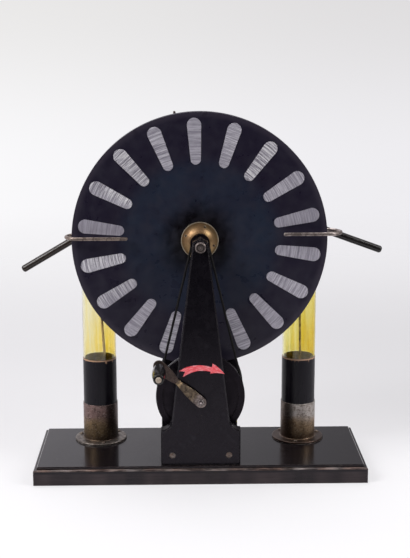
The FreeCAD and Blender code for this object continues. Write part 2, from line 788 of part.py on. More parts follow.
# Disc with its bell-shaped boss, pulley, screws and sectors
def make_disc_set(side, prefix):
    edge = S.disc_edge
    bore = SLEEVE_RADIUS + S.seat_clearance
    screw_bore = S.boss_screw_radius + S.seat_clearance
    disc = turned(
        prefix + "_disc",
        [
            (DISC_IN, bore),
            (DISC_IN, S.disc_radius - edge),
            (DISC_IN + edge, S.disc_radius),
            (DISC_OUT - edge, S.disc_radius),
            (DISC_OUT, S.disc_radius - edge),
            (DISC_OUT, bore),
        ],
        side=side,
    )
    depth = S.boss_screw_depth + S.side_clearance
    ring_of_holes(disc, side, "screw_holes", DISC_OUT, screw_bore, depth, False)
    inner = S.axle_radius + S.running_clearance
    start = S.washer_thickness / 2 + S.side_clearance
    boss = turned(
        prefix + "_boss",
        [
            (start, inner),
            (start, SLEEVE_RADIUS),
            (DISC_OUT, SLEEVE_RADIUS),
            (DISC_OUT, S.bell_radius),
            (BELL_RIM, S.bell_radius),
            (BELL_RIM + BELL_FLARE, BELL_NECK),
            (PULLEY_IN, BELL_NECK),
            (PULLEY_IN, SLEEVE_RADIUS),
            (PULLEY_OUT, SLEEVE_RADIUS),
            (PULLEY_OUT, inner),
        ],
        {4: (BELL_FLARE, True)},
        side=side,
    )
    ring_of_holes(boss, side, "screw_holes", DISC_OUT, screw_bore, S.bell_rim, True)
    seat = S.boss_screw_head + S.seat_clearance
    ring_of_holes(boss, side, "screw_seats", BELL_RIM, seat, BELL_FLARE, True)
    groove = GROOVE_RADIUS
    turned(
        prefix + "_pulley",
        [
            (PULLEY_IN, bore),
            (PULLEY_IN, S.pulley_radius),
            (BELT_OFFSET - groove, S.pulley_radius),
            (BELT_OFFSET - groove, PULLEY_BELT),
            (BELT_OFFSET + groove, PULLEY_BELT),
            (BELT_OFFSET + groove, S.pulley_radius),
            (PULLEY_OUT, S.pulley_radius),
            (PULLEY_OUT, bore),
        ],
        {3: (groove, True)},
        side=side,
    )


# Small domed screws through the bell's flange into the disc
def make_boss_screws(side, prefix):
    body = new_body(prefix + "_boss_screws", 0.0, MIDDLE_Y, AXLE_Z, turn=S.boss_screw_angle)
    sketch = new_sketch(body, "YZ_Plane", "outline", (0.0, 0.0, S.bell_radius - S.boss_screw_margin))
    tip = DISC_OUT - S.boss_screw_depth
    top = BELL_RIM + S.boss_screw_rise
    draw_screw(sketch, side, tip, BELL_RIM, top, S.boss_screw_radius, S.boss_screw_head)
    screw = revolve(body, sketch, "screw", "H_Axis")
    polar(body, [screw], "ring", S.boss_screw_count)


# Foil sectors: two round ends joined by straight tapering sides
def make_sectors(side, prefix):
    body = new_body(prefix + "_sectors", 0.0, MIDDLE_Y, AXLE_Z, turn=S.sector_lean)
    sketch = new_sketch(body, "XZ_Plane", "outline", (0.0, 0.0, -side * DISC_OUT))
    small, large = S.sector_inner_radius, S.sector_outer_radius
    small_z, large_z = SECTOR_INNER + small, SECTOR_OUTER - large
    slope = (large - small) / (large_z - small_z)
    square = root(1 - slope * slope)
    outline(
        sketch,
        [
            (-(small * square), small_z - small * slope),
            (small * square, small_z - small * slope),
            (large * square, large_z - large * slope),
            (-(large * square), large_z - large * slope),
        ],
        {0: (small, True), 2: (large, True, LONG)},
    )
    foil = pad(body, sketch, "foil", S.sector_thickness, backwards=side == REAR)
    polar(body, [foil], "ring", S.sector_count)


def section_disc(point, direction):
    """The cord's round section at a point of its route."""
    return Part.Face(Part.Wire(Part.makeCircle(BELT_RADIUS.value, point, direction)))


def bent(point, centre, axis, degrees):
    """A stretch of cord from a point round a centre, with its length."""
    solid = section_disc(point, axis.cross(point - centre)).revolve(centre, axis, degrees)
    return [(solid, (point - centre).Length * math.radians(degrees))]


def straight(start, end):
    return [(section_disc(start, end - start).extrude(end - start), (end - start).Length)]


def swerve(start, end):
    """A stretch of cord that moves sideways and ends parallel to its start: two tangent arcs."""
    sideways = FreeCAD.Vector(0, 1, 0)
    across = (end - start).dot(sideways)
    along = ((end - start) - sideways * across).normalize()
    chord = (end - start).Length
    push = sideways * (chord * chord / (4 * across))
    degrees = math.degrees(2 * math.asin(chord / 4 / push.Length))
    axis = along.cross(push).normalize()
    middle = (start + end) / 2
    return bent(start, start + push, axis, degrees) + bent(middle, end - push, axis * -1, degrees)


def add_belt(label, side, stretches):
    """Joins a belt's stretches into one solid and compares its volume with its section times its length."""
    solids = [solid for solid, length in stretches]
    expected = math.pi * BELT_RADIUS.value ** 2 * sum(length for solid, length in stretches)
    shape = solids[0].multiFuse(solids[1:])
    if len(shape.Solids) != 1 or abs(shape.Volume / expected - 1) > VOLUME_MATCH:
        raise ValueError(label + " isn't one whole cord")
    belt = doc.addObject("Part::Feature", label)
    belt.Label = label
    belt.Shape = shape.Solids[0]
    place = FreeCAD.Vector(0, MIDDLE_Y.value + side * BELT_OFFSET.value, 0)
    belt.Placement = FreeCAD.Placement(place, FreeCAD.Rotation())
    nodes.append(belt)


# Cord belts: the front one open, the rear one crossed, so that the discs turn opposite ways
def make_belts():
    small, large = PULLEY_BELT.value, WHEEL_BELT.value
    high, low = FreeCAD.Vector(0, 0, AXLE_Z.value), FreeCAD.Vector(0, 0, CRANK_Z.value)
    distance = (high - low).Length
    forward = FreeCAD.Vector(0, -1, 0)

    lean = math.asin((large - small) / distance)
    right = FreeCAD.Vector(math.cos(lean), 0, math.sin(lean))
    left = FreeCAD.Vector(-right.x, 0, right.z)
    over = 180 - 2 * math.degrees(lean)
    open_belt = bent(high + right * small, high, forward, over)
    open_belt += straight(high + left * small, low + left * large)
    open_belt += bent(low + left * large, low, forward, 360 - over)
    open_belt += straight(low + right * large, high + right * small)
    add_belt("front_belt", FRONT, open_belt)

    lean = math.asin((large + small) / distance)
    right = FreeCAD.Vector(math.cos(lean), 0, -math.sin(lean))
    left = FreeCAD.Vector(-right.x, 0, right.z)
    over = 180 + 2 * math.degrees(lean)
    crossed_belt = bent(high + right * small, high, forward, over)
    crossed_belt += bent(low - right * large, low, forward, over)
    for tangent, sideways in ((right, S.belt_swerve.value), (left, -S.belt_swerve.value)):
        crossing = high + FreeCAD.Vector(0, sideways, -small / math.sin(lean))
        crossed_belt += swerve(high + tangent * small, crossing)
        crossed_belt += swerve(low - tangent * large, crossing)
    add_belt("rear_belt", REAR, crossed_belt)


# Crank axle with its bushes, drive wheels and rear collar
def make_crank_train():
    rear_end = UPRIGHT_OUT + S.bush_proud + S.bush_gap + S.collar_width + S.axle_stub / 2
    screw_hole = S.crank_screw_radius + S.seat_clearance
    screw_floor = -(ARM_FRONT - S.crank_screw_depth - S.side_clearance)
    turned(
        "crank_axle",
        [
            (-ARM_FRONT, screw_hole),
            (-ARM_FRONT, S.crank_axle_radius),
            (rear_end, S.crank_axle_radius),
            (rear_end, 0.0),
            (screw_floor, 0.0),
            (screw_floor, screw_hole),
        ],
        z=CRANK_Z,
    )
    inner = S.crank_axle_radius + S.running_clearance
    bush_radius = inner + S.bush_wall
    first, last = HALF_GAP + S.side_clearance, UPRIGHT_OUT + S.bush_proud
    bush = [(first, inner), (first, bush_radius), (last, bush_radius), (last, inner)]
    turned("crank_bush_front", bush, z=CRANK_Z, side=FRONT)
    turned("crank_bush_rear", bush, z=CRANK_Z, side=REAR)
    first = last + S.bush_gap
    last = first + S.collar_width
    collar_radius = S.crank_axle_radius + S.collar_wall
    bore = CRANK_AXLE_BORE
    collar = [(first, bore), (first, collar_radius), (last, collar_radius), (last, bore)]
    turned("crank_collar", collar, z=CRANK_Z)
    make_drive_wheel(FRONT, "drive_wheel_front")
    make_drive_wheel(REAR, "drive_wheel_rear")


# Grooved wheel: hub, thin web and rim, turned in one
def make_drive_wheel(side, label):
    rim_in, rim_out = BELT_OFFSET - S.wheel_width / 2, BELT_OFFSET + S.wheel_width / 2
    web_in, web_out = BELT_OFFSET - S.wheel_web / 2, BELT_OFFSET + S.wheel_web / 2
    hub_in, hub_out = BELT_OFFSET - S.wheel_hub_inner, HALF_GAP - S.side_clearance * 2
    rim_floor = S.wheel_radius - S.wheel_rim_depth
    groove = GROOVE_RADIUS
    edge = S.wheel_edge
    turned(
        label,
        [
            (hub_in, CRANK_AXLE_BORE),
            (hub_in, S.wheel_hub_radius),
            (web_in, S.wheel_hub_radius),
            (web_in, rim_floor),
            (rim_in, rim_floor),
            (rim_in, S.wheel_radius - edge),
            (rim_in + edge, S.wheel_radius),
            (BELT_OFFSET - groove, S.wheel_radius),
            (BELT_OFFSET - groove, WHEEL_BELT),
            (BELT_OFFSET + groove, WHEEL_BELT),
            (BELT_OFFSET + groove, S.wheel_radius),
            (rim_out - edge, S.wheel_radius),
            (rim_out, S.wheel_radius - edge),
            (rim_out, rim_floor),
            (web_out, rim_floor),
            (web_out, S.wheel_hub_radius),
            (hub_out, S.wheel_hub_radius),
            (hub_out, CRANK_AXLE_BORE),
        ],
        {5: (edge, False), 8: (groove, True), 11: (edge, False)},
        z=CRANK_Z,
        side=side,
    )


def flank_point(reach, half_width, radius, flank):
    """Where a curved flank from (reach, half_width) runs into a circle about the origin."""
    slant = root(reach * reach + half_width * half_width)
    rest = flank - radius
    share = (slant * slant + rest * rest - flank * flank) / (slant * rest * 2)
    angle = arcsine(half_width / slant) + arcsine(share) + FULL_TURN / 4
    return radius * cosine(angle), radius * sine(angle)


# Crank: flat arm with a narrow waist, its screw, the pin and the turned grip
def make_crank():
    body = new_body("crank_arm", 0.0, MIDDLE_Y - ARM_BACK, CRANK_Z, turn=S.crank_lean)
    plan = new_sketch(body, "XZ_Plane", "plan")
    hub_radius = S.crank_axle_radius + S.arm_hub_wall
    hub_flank, end_flank = S.arm_hub_flank, S.arm_end_flank
    hub_x, hub_y = flank_point(S.arm_waist_place, S.arm_waist, hub_radius, hub_flank)
    beyond_waist = S.crank_length - S.arm_waist_place
    end_x, end_y = flank_point(beyond_waist, S.arm_waist, S.arm_end_radius, end_flank)
    upper = [(S.crank_length - end_x, end_y), (S.arm_waist_place, S.arm_waist), (hub_x, hub_y)]
    lower = [(x, -y) for x, y in reversed(upper)]
    flanks = {0: (hub_flank, True), 1: (end_flank, True), 3: (end_flank, True), 4: (hub_flank, True)}
    ends = {2: (S.arm_end_radius, True, LONG), 5: (hub_radius, True, LONG)}
    outline(plan, lower + upper, flanks | ends)
    plate = pad(body, plan, "plate", S.arm_thickness)
    waist_x = S.arm_waist_place.value
    waist_round = S.arm_waist_round
    smooth = dress(body, "Fillet", "waist", plate, lambda p: abs(p.x - waist_x) < NEAR, Radius=waist_round)
    front = -S.arm_thickness.value
    dress(body, "Fillet", "rounding", smooth, lambda p: abs(p.y - front) < NEAR, Radius=S.arm_edge)
    bores = new_sketch(body, "XZ_Plane", "bores")
    circle(bores, 0.0, 0.0, CRANK_AXLE_BORE)
    circle(bores, S.crank_length, 0.0, S.grip_pin_radius + S.seat_clearance)
    pocket(body, bores, "bored", S.arm_thickness, backwards=True)

    screw = new_body("crank_screw", 0.0, MIDDLE_Y, CRANK_Z)
    sketch = new_sketch(screw, "YZ_Plane", "outline")
    tip = ARM_FRONT - S.crank_screw_depth
    top = ARM_FRONT + S.head_height
    draw_screw(sketch, FRONT, tip, ARM_FRONT, top, S.crank_screw_radius, S.crank_screw_head)
    revolve(screw, sketch, "screw", "H_Axis")

    place = {"x": S.crank_length * cosine(S.crank_lean), "z": CRANK_Z + S.crank_length * sine(S.crank_lean)}
    collar_end = ARM_FRONT + S.pin_collar
    grip_in = collar_end + S.side_clearance
    grip_out = grip_in + S.grip_length
    head_in = grip_out + S.side_clearance
    head_out = head_in + S.grip_pin_head_length
    head_edge = S.grip_pin_head_length / 2
    turned(
        "grip_pin",
        [
            (ARM_BACK, 0.0),
            (ARM_BACK, S.grip_pin_radius),
            (ARM_FRONT, S.grip_pin_radius),
            (ARM_FRONT, S.pin_collar_radius),
            (collar_end, S.pin_collar_radius),
            (collar_end, S.grip_pin_radius),
            (head_in, S.grip_pin_radius),
            (head_in, S.grip_pin_head),
            (head_out - head_edge, S.grip_pin_head),
            (head_out, S.grip_pin_head - head_edge),
            (head_out, 0.0),
        ],
        {8: (head_edge, False)},
        side=FRONT,
        **place,
    )
    bore = S.grip_pin_radius + S.running_clearance
    length = grip_out - S.grip_end_round - grip_in - S.grip_neck_round
    widening = S.grip_end - S.grip_neck
    chord = root(length * length + widening * widening)
    bulge = (chord * chord / 4 + S.grip_bulge * S.grip_bulge) / (S.grip_bulge * 2)
    turned(
        "crank_grip",
        [
            (grip_in, bore),
            (grip_in, S.grip_neck - S.grip_neck_round),
            (grip_in + S.grip_neck_round, S.grip_neck),
            (grip_out - S.grip_end_round, S.grip_end),
            (grip_out, S.grip_end - S.grip_end_round),
            (grip_out, bore),
        ],
        {1: (S.grip_neck_round, False), 2: (bulge, False), 3: (S.grip_end_round, False)},
        side=FRONT,
        **place,
    )


# One jar: glass, coatings, cup and its screws, lid, contact rod and head
def make_jar(side, prefix):
    bottom, wall, corner = GLASS_BOTTOM, S.glass_wall, S.glass_corner
    inner_corner = corner - wall
    stood(
        prefix + "_jar_glass",
        side,
        [
            (0.0, bottom),
            (S.glass_radius - corner, bottom),
            (S.glass_radius, bottom + corner),
            (S.glass_radius, GLASS_TOP),
            (GLASS_INNER, GLASS_TOP),
            (GLASS_INNER, bottom + corner),
            (GLASS_INNER - inner_corner, bottom + wall),
            (0.0, bottom + wall),
        ],
        {1: (corner, True), 5: (inner_corner, False)},
    )
    coating_top = bottom + S.coating_height
    inner, outer = OUTER_COATING_IN, OUTER_COATING_OUT
    stood(
        prefix + "_jar_outer_coating",
        side,
        [(inner, bottom + corner), (outer, bottom + corner), (outer, coating_top), (inner, coating_top)],
    )
    outer = GLASS_INNER - S.seat_clearance
    inner = outer - S.inner_coating_thickness
    floor = bottom + wall + S.seat_clearance
    turn_out = inner_corner - S.seat_clearance
    turn_in = turn_out - S.inner_coating_thickness
    stood(
        prefix + "_jar_inner_coating",
        side,
        [
            (0.0, floor),
            (outer - turn_out, floor),
            (outer, floor + turn_out),
            (outer, coating_top),
            (inner, coating_top),
            (inner, floor + turn_out),
            (inner - turn_in, floor + S.inner_coating_thickness),
            (0.0, floor + S.inner_coating_thickness),
        ],
        {1: (turn_out, True), 5: (turn_in, False)},
    )
    make_cup(side, prefix)
    plug_radius = GLASS_INNER - S.cord_clearance
    plug_bottom = GLASS_TOP - S.lid_plug
    socket_top = LID_TOP - S.lid_roof
    socket = S.contact_rod_radius + S.contact_rod_play
    lid_radius = S.glass_radius + S.lid_overhang
    rounding = S.lid_round
    stood(
        prefix + "_jar_lid",
        side,
        [
            (socket, plug_bottom),
            (plug_radius, plug_bottom),
            (plug_radius, GLASS_TOP),
            (lid_radius, GLASS_TOP),
            (lid_radius, LID_TOP - rounding),
            (lid_radius - rounding, LID_TOP),
            (0.0, LID_TOP),
            (0.0, socket_top),
            (socket, socket_top),
        ],
        {4: (rounding, True)},
    )
    lean = S.contact_lean_left if side == LEFT else S.contact_lean_right
    socket_middle = (plug_bottom + socket_top) / 2
    front_view = (0, -1, 0)
    body = new_body(prefix + "_inner_rod", side * JAR_X, JAR_Y, socket_middle, turn=lean, about=front_view)
    sketch = new_sketch(body, "XZ_Plane", "outline")
    top = (socket_top - socket_middle) - S.side_clearance
    knob = S.contact_knob_radius
    knob_z = -((socket_middle - floor - S.inner_coating_thickness - knob - S.cord_clearance) / cosine(lean))
    neck = leg(knob, S.contact_rod_radius)
    outline(
        sketch,
        [
            (0.0, knob_z - knob),
            (S.contact_rod_radius, knob_z + neck),
            (S.contact_rod_radius, top),
            (0.0, top),
        ],
        {0: (knob, True)},
    )
    revolve(body, sketch, "turned")
    make_head(side, prefix)


# Spun brass cup with its screwed flange
def make_cup(side, prefix):
    inner, outer = CUP_IN, CUP_OUT
    top = TOP + S.cup_height
    hole = S.bolt_radius + S.seat_clearance
    rim = S.flange_thickness / 2
    cove = S.cup_cove
    lip = S.cup_wall / 2
    cup = stood(
        prefix + "_jar_cup",
        side,
        [
            (hole, TOP),
            (FLANGE_RADIUS, TOP),
            (FLANGE_RADIUS, TOP + rim),
            (FLANGE_RADIUS - rim, GLASS_BOTTOM),
            (outer + cove, GLASS_BOTTOM),
            (outer, GLASS_BOTTOM + cove),
            (outer, top - lip),
            (inner + lip, top),
            (inner, top),
            (inner, GLASS_BOTTOM),
            (hole, GLASS_BOTTOM),
        ],
        {2: (rim, True), 4: (cove, False), 6: (lip, True)},
    )
    holes = new_sketch(cup, "XY_Plane", "holes", (0.0, 0.0, TOP))
    for x, y in flange_screw_places(side, Size.of(0)):
        circle(holes, x, y, S.flange_screw_radius + S.seat_clearance)
    pocket(cup, holes, "bored", S.flange_thickness, backwards=True)
    turn = S.flange_screw_angle if side == LEFT else FULL_TURN / 2 - S.flange_screw_angle
    body = new_body(prefix + "_cup_screws", side * JAR_X, JAR_Y, TOP, turn=turn, about=(0, 0, 1))
    sketch = new_sketch(body, "XZ_Plane", "outline", (FLANGE_SCREW_CIRCLE, 0.0, 0.0))
    top = S.flange_thickness + S.head_height
    tip = -S.flange_screw_depth
    draw_screw(sketch, UPWARDS, tip, S.flange_thickness, top, S.flange_screw_radius, S.flange_screw_head)
    screw = revolve(body, sketch, "screw")
    polar(body, [screw], "ring", S.flange_screw_count, "Z_Axis")


def head_height(side):
    """Height of a jar's ball head above the floor."""
    return AXLE_Z + (S.head_above_axle_left if side == LEFT else S.head_above_axle_right)


# Ball head on its column, with the pivot pin behind it and the socket for the collector's stem
def make_head(side, prefix):
    height = head_height(side)
    neck = leg(S.head_ball_radius, S.column_radius)
    foot = S.column_foot_height
    foot_radius = S.column_radius + S.column_foot_width
    cove = S.column_cove
    body = stood(
        prefix + "_jar_head",
        side,
        [
            (0.0, LID_TOP),
            (foot_radius, LID_TOP),
            (foot_radius, LID_TOP + foot),
            (S.column_radius + cove, LID_TOP + foot),
            (S.column_radius, LID_TOP + foot + cove),
            (S.column_radius, height - neck),
            (0.0, height + S.head_ball_radius),
        ],
        {3: (cove, False), 5: (S.head_ball_radius, True)},
    )
    pin = new_sketch(body, "YZ_Plane", "pin", (0.0, height, 0.0))
    seat = HUB_REAR + S.side_clearance
    head_end = seat + S.pivot_head_length
    edge = S.pivot_head_length / 2
    outline(
        pin,
        [
            (0.0, 0.0),
            (0.0, S.pivot_radius),
            (seat, S.pivot_radius),
            (seat, S.pivot_head_radius),
            (head_end - edge, S.pivot_head_radius),
            (head_end, S.pivot_head_radius - edge),
            (head_end, 0.0),
        ],
        {4: (edge, False)},
    )
    feature(body, "Revolution", "pin_turned", Profile=pin, ReferenceAxis=(pin, ["H_Axis"]), Angle=FULL_TURN)
    socket = new_sketch(body, "XZ_Plane", "socket", (0.0, height, S.head_ball_radius))
    circle(socket, 0.0, -S.collector_drop, S.collector_stem_radius + S.seat_clearance)
    pocket(body, socket, "socket_bored", S.head_ball_radius - S.stem_seat)


# Collector: round rod bent round the discs' rims, its stem, and the comb points inside it
def make_collector(side, prefix):
    reach, length = S.collector_reach_left, S.collector_length_left
    if side == RIGHT:
        reach, length = S.collector_reach_right, S.collector_length_right
    outer = S.disc_radius + reach
    inner = outer - length
    half = COLLECTOR_HALF
    body = new_body(prefix + "_collector", 0.0, MIDDLE_Y, head_height(side) - S.collector_drop)
    spine = new_sketch(body, "XY_Plane", "route")
    bend_x = side * (outer - half)
    route = [(side * inner, -half), (bend_x, -half), (bend_x, half), (side * inner, half)]
    draw_route(spine, route, 1, half, side == RIGHT)
    section = new_sketch(body, "YZ_Plane", "section", (-half, 0.0, side * inner))
    circle(section, 0.0, 0.0, S.collector_rod_radius)
    rod = feature(body, "AdditivePipe", "rod", Profile=section, Spine=(spine, ["Edge1", "Edge2", "Edge3"]))
    tip = side * inner.value
    rounding = S.collector_rod_radius * S.tip_round
    dress(body, "Fillet", "ends", rod, lambda p: abs(p.x - tip) < NEAR, Radius=rounding)
    stem = new_sketch(body, "XZ_Plane", "stem", (0.0, 0.0, -half))
    circle(stem, side * JAR_X, 0.0, S.collector_stem_radius)
    stem_end = JAR_Y - MIDDLE_Y - S.stem_seat - S.side_clearance
    pad(body, stem, "stem_rod", stem_end - half, backwards=True)
    for end, name in ((FRONT, "front_comb"), (REAR, "rear_comb")):
        comb = new_sketch(body, "XZ_Plane", name, (0.0, 0.0, -end * half))
        for number in range(int(S.comb_points.value)):
            place = inner + S.comb_first + number * S.comb_point_pitch
            circle(comb, side * place, 0.0, S.comb_point_radius)
        points = S.collector_rod_radius + S.comb_point_length
        pad(body, comb, name + "_points", points, backwards=end == FRONT)


def draw_route(sketch, points, bend, radius, left_turn):
    """An open route of straight runs with one half-round bend between two of its points."""
    vectors = [FreeCAD.Vector(Size.of(x).value, Size.of(y).value, 0) for x, y in points]
    made = []
    for index in range(len(points) - 1):
        start, end = vectors[index], vectors[index + 1]
        if index == bend:
            curve = arc_between(start, end, radius.value, left_turn)
            order = (1, 2) if left_turn else (2, 1)
        else:
            curve = Part.LineSegment(start, end)
            order = (1, 2)
        made.append((sketch.addGeometry(curve, False), *order))
    for (geometry, first, last), (following, start, end) in zip(made, made[1:]):
        sketch.addConstraint(Sketcher.Constraint("Coincident", geometry, last, following, start))
    for (geometry, first, last), point in zip(made, points):
        pin_point(sketch, geometry, first, *point)
    pin_point(sketch, made[-1][0], made[-1][2], *points[-1])
    constrain(sketch, "DistanceX", -1, 1, made[bend][0], 3, size=points[bend][0])


# Discharge rod: hub on the pivot pin, rod and spark ball, and its insulating handle
def make_discharge_rod(side, prefix):
    angle = S.rod_angle_left if side == LEFT else FULL_TURN / 2 - S.rod_angle_right
    place = (side * JAR_X, JAR_Y, head_height(side))
    body = new_body(prefix + "_discharge_rod", *place, turn=angle)
    hub = new_sketch(body, "YZ_Plane", "hub")
    first, last = HUB_FRONT, HUB_REAR
    bore = S.pivot_radius + S.running_clearance
    edge = S.hub_edge
    outline(
        hub,
        [
            (first, bore),
            (first, S.hub_radius - edge),
            (first + edge, S.hub_radius),
            (last - edge, S.hub_radius),
            (last, S.hub_radius - edge),
            (last, bore),
        ],
        {1: (edge, False), 3: (edge, False)},
    )
    revolve(body, hub, "hub_turned", "H_Axis")
    start = (S.hub_radius + bore) / 2
    neck = leg(S.spark_ball_radius, S.rod_radius)
    length = (JAR_X - S.spark_ball_place_left) / cosine(S.rod_angle_left)
    if side == RIGHT:
        length = (JAR_X - S.spark_ball_place_right) / cosine(S.rod_angle_right)
    rod = new_sketch(body, "XY_Plane", "rod", (0.0, HUB_CENTRE, 0.0))
    outline(
        rod,
        [
            (start, 0.0),
            (start, S.rod_radius),
            (length - neck, S.rod_radius),
            (length + S.spark_ball_radius, 0.0),
        ],
        {2: (S.spark_ball_radius, False)},
    )
    revolve(body, rod, "rod_turned", "H_Axis")
    tang = new_sketch(body, "XY_Plane", "tang", (0.0, HUB_CENTRE, 0.0))
    outline(tang, [(-start, 0.0), (-start, S.rod_radius), (-S.rod_tang, S.rod_radius), (-S.rod_tang, 0.0)])
    revolve(body, tang, "tang_turned", "H_Axis")

    handle = new_body(prefix + "_discharge_handle", *place, turn=angle)
    sketch = new_sketch(handle, "XY_Plane", "outline", (0.0, HUB_CENTRE, 0.0))
    socket = S.rod_radius + S.seat_clearance
    step = S.handle_step
    rounding = S.handle_round
    outline(
        sketch,
        [
            (-S.handle_inner, socket),
            (-S.handle_inner, S.handle_radius - step),
            (-(S.handle_inner + step), S.handle_radius),
            (-(S.handle_outer - rounding), S.handle_radius),
            (-S.handle_outer, S.handle_radius - rounding),
            (-S.handle_outer, 0.0),
            (-(S.rod_tang + S.side_clearance), 0.0),
            (-(S.rod_tang + S.side_clearance), socket),
        ],
        {1: (step, True), 3: (rounding, True)},
    )
    revolve(handle, sketch, "turned", "H_Axis")


# Neutraliser behind the rear disc: boss on the disc axle, two arms and two brushes
def make_neutraliser():
    inner, outer = PULLEY_OUT + S.neutraliser_gap, HALF_GAP - S.neutraliser_gap
    middle = (inner + outer) / 2
    bore = S.axle_radius + S.running_clearance
    arm_hole = S.neutraliser_rod_radius + S.seat_clearance
    arm_foot = S.neutraliser_foot
    length = S.disc_radius + S.neutraliser_overhang
    lean = NEUTRALISER_LEAN
    place = (0.0, MIDDLE_Y, AXLE_Z)
    boss = new_body("neutraliser_boss", *place, turn=lean)
    sketch = new_sketch(boss, "YZ_Plane", "outline")
    radius = bore + S.neutraliser_boss_wall
    outline(sketch, [(inner, bore), (inner, radius), (outer, radius), (outer, bore)])
    revolve(boss, sketch, "turned", "H_Axis")
    for end, name in ((1, "upper_hole"), (-1, "lower_hole")):
        hole = new_sketch(boss, "XY_Plane", name, (0.0, 0.0, end * arm_foot))
        circle(hole, 0.0, middle, arm_hole)
        pocket(boss, hole, name + "_bored", radius, backwards=end == 1)

    arms = new_body("neutraliser_arms", *place, turn=lean)
    rounding = S.neutraliser_rod_radius * S.tip_round
    for end, name in ((1, "upper"), (-1, "lower")):
        start = arm_foot + S.side_clearance
        foot = new_sketch(arms, "XY_Plane", name + "_foot", (0.0, 0.0, end * start))
        circle(foot, 0.0, middle, S.neutraliser_rod_radius)
        arm = pad(arms, foot, name + "_arm", length - start, backwards=end == -1)
        tip = end * length.value
        dress(arms, "Fillet", name + "_tip", arm, lambda p: abs(p.z - tip) < NEAR, Radius=rounding)

    brushes = new_body("neutraliser_brushes", *place, turn=lean)
    clamp = new_sketch(brushes, "YZ_Plane", "clamp", (middle, BRUSH_CIRCLE, 0.0))
    half = S.brush_clamp_length / 2
    wall = arm_hole + S.brush_clamp_wall
    outline(clamp, [(arm_hole, -half), (wall, -half), (wall, half), (arm_hole, half)])
    sleeve = revolve(brushes, clamp, "sleeve")
    brush = new_sketch(brushes, "YZ_Plane", "brush", (0.0, BRUSH_CIRCLE, 0.0))
    root_place = middle - arm_hole - S.seat_clearance
    tip = SECTOR_FACE + S.brush_gap
    ferrule = tip + S.brush_length
    outline(
        brush,
        [
            (root_place, 0.0),
            (root_place, S.brush_tube_radius),
            (ferrule, S.brush_tube_radius),
            (tip, S.brush_radius),
            (tip, 0.0),
        ],
    )
    stem = revolve(brushes, brush, "brush_turned", "H_Axis")
    mirror(brushes, [sleeve, stem], "pair", "XY_Plane")


make_base()
make_strip()
make_foot_block()
make_foot_screws()
for side, name in ((FRONT, "front"), (REAR, "rear")):
    make_upright(side, name + "_upright")
    make_upright_screws(side, name + "_upright_screws")
    make_disc_set(side, name)
    make_boss_screws(side, name)
    make_sectors(side, name)
make_disc_axle()
make_belts()
make_crank_train()
make_crank()
for side, name in ((LEFT, "left"), (RIGHT, "right")):
    make_jar(side, name)
    make_collector(side, name)
    make_discharge_rod(side, name)
make_neutraliser()
doc.recompute()

# Nothing is written unless every object and every piece is sound
for item in doc.Objects:
    if any(state in ("Invalid", "Error") for state in item.State):
        raise ValueError(item.Label + " failed: " + str(item.State))
for node in nodes:
    if node.Shape.isNull() or not node.Shape.isValid() or not node.Shape.Solids:
        raise ValueError(node.Label + " has no sound shape")
os.makedirs("parts", exist_ok=True)
for node in nodes:
    node.Shape.exportStep("parts/" + node.Label + ".step")
print(len(nodes), "pieces written")
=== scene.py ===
import math

import bmesh
import bpy
from mathutils import Matrix, Vector


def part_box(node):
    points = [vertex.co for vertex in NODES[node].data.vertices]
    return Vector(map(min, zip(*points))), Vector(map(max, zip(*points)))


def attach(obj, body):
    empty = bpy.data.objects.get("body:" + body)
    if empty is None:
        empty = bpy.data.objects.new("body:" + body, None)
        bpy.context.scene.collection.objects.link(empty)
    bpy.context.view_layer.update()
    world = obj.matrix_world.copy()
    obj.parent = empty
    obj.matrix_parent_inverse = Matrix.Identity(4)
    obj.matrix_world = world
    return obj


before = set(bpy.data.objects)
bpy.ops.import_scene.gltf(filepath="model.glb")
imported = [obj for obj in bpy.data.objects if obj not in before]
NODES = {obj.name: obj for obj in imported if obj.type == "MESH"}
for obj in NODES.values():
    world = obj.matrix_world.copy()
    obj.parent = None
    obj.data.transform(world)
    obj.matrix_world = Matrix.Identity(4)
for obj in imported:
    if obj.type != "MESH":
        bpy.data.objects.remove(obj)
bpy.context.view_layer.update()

# An influence machine on a black board: two ebonite discs with foil sectors, belt driven from a crank,
# between two Leyden jars that carry the collectors and the discharge rods

MM = 0.001


# Places read from the frame
def middle(node):
    low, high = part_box(node)
    return (low + high) / 2


AXLE = middle("front_disc")
REAR_DISC = middle("rear_disc")
CRANK = middle("crank_axle")
UPRIGHT_LOW, UPRIGHT_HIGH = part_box("front_upright")
BOARD_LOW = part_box("base_board")[0]
JARS = {side: middle(side + "_jar_glass") for side in ("left", "right")}
COATING_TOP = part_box("left_jar_outer_coating")[1].z


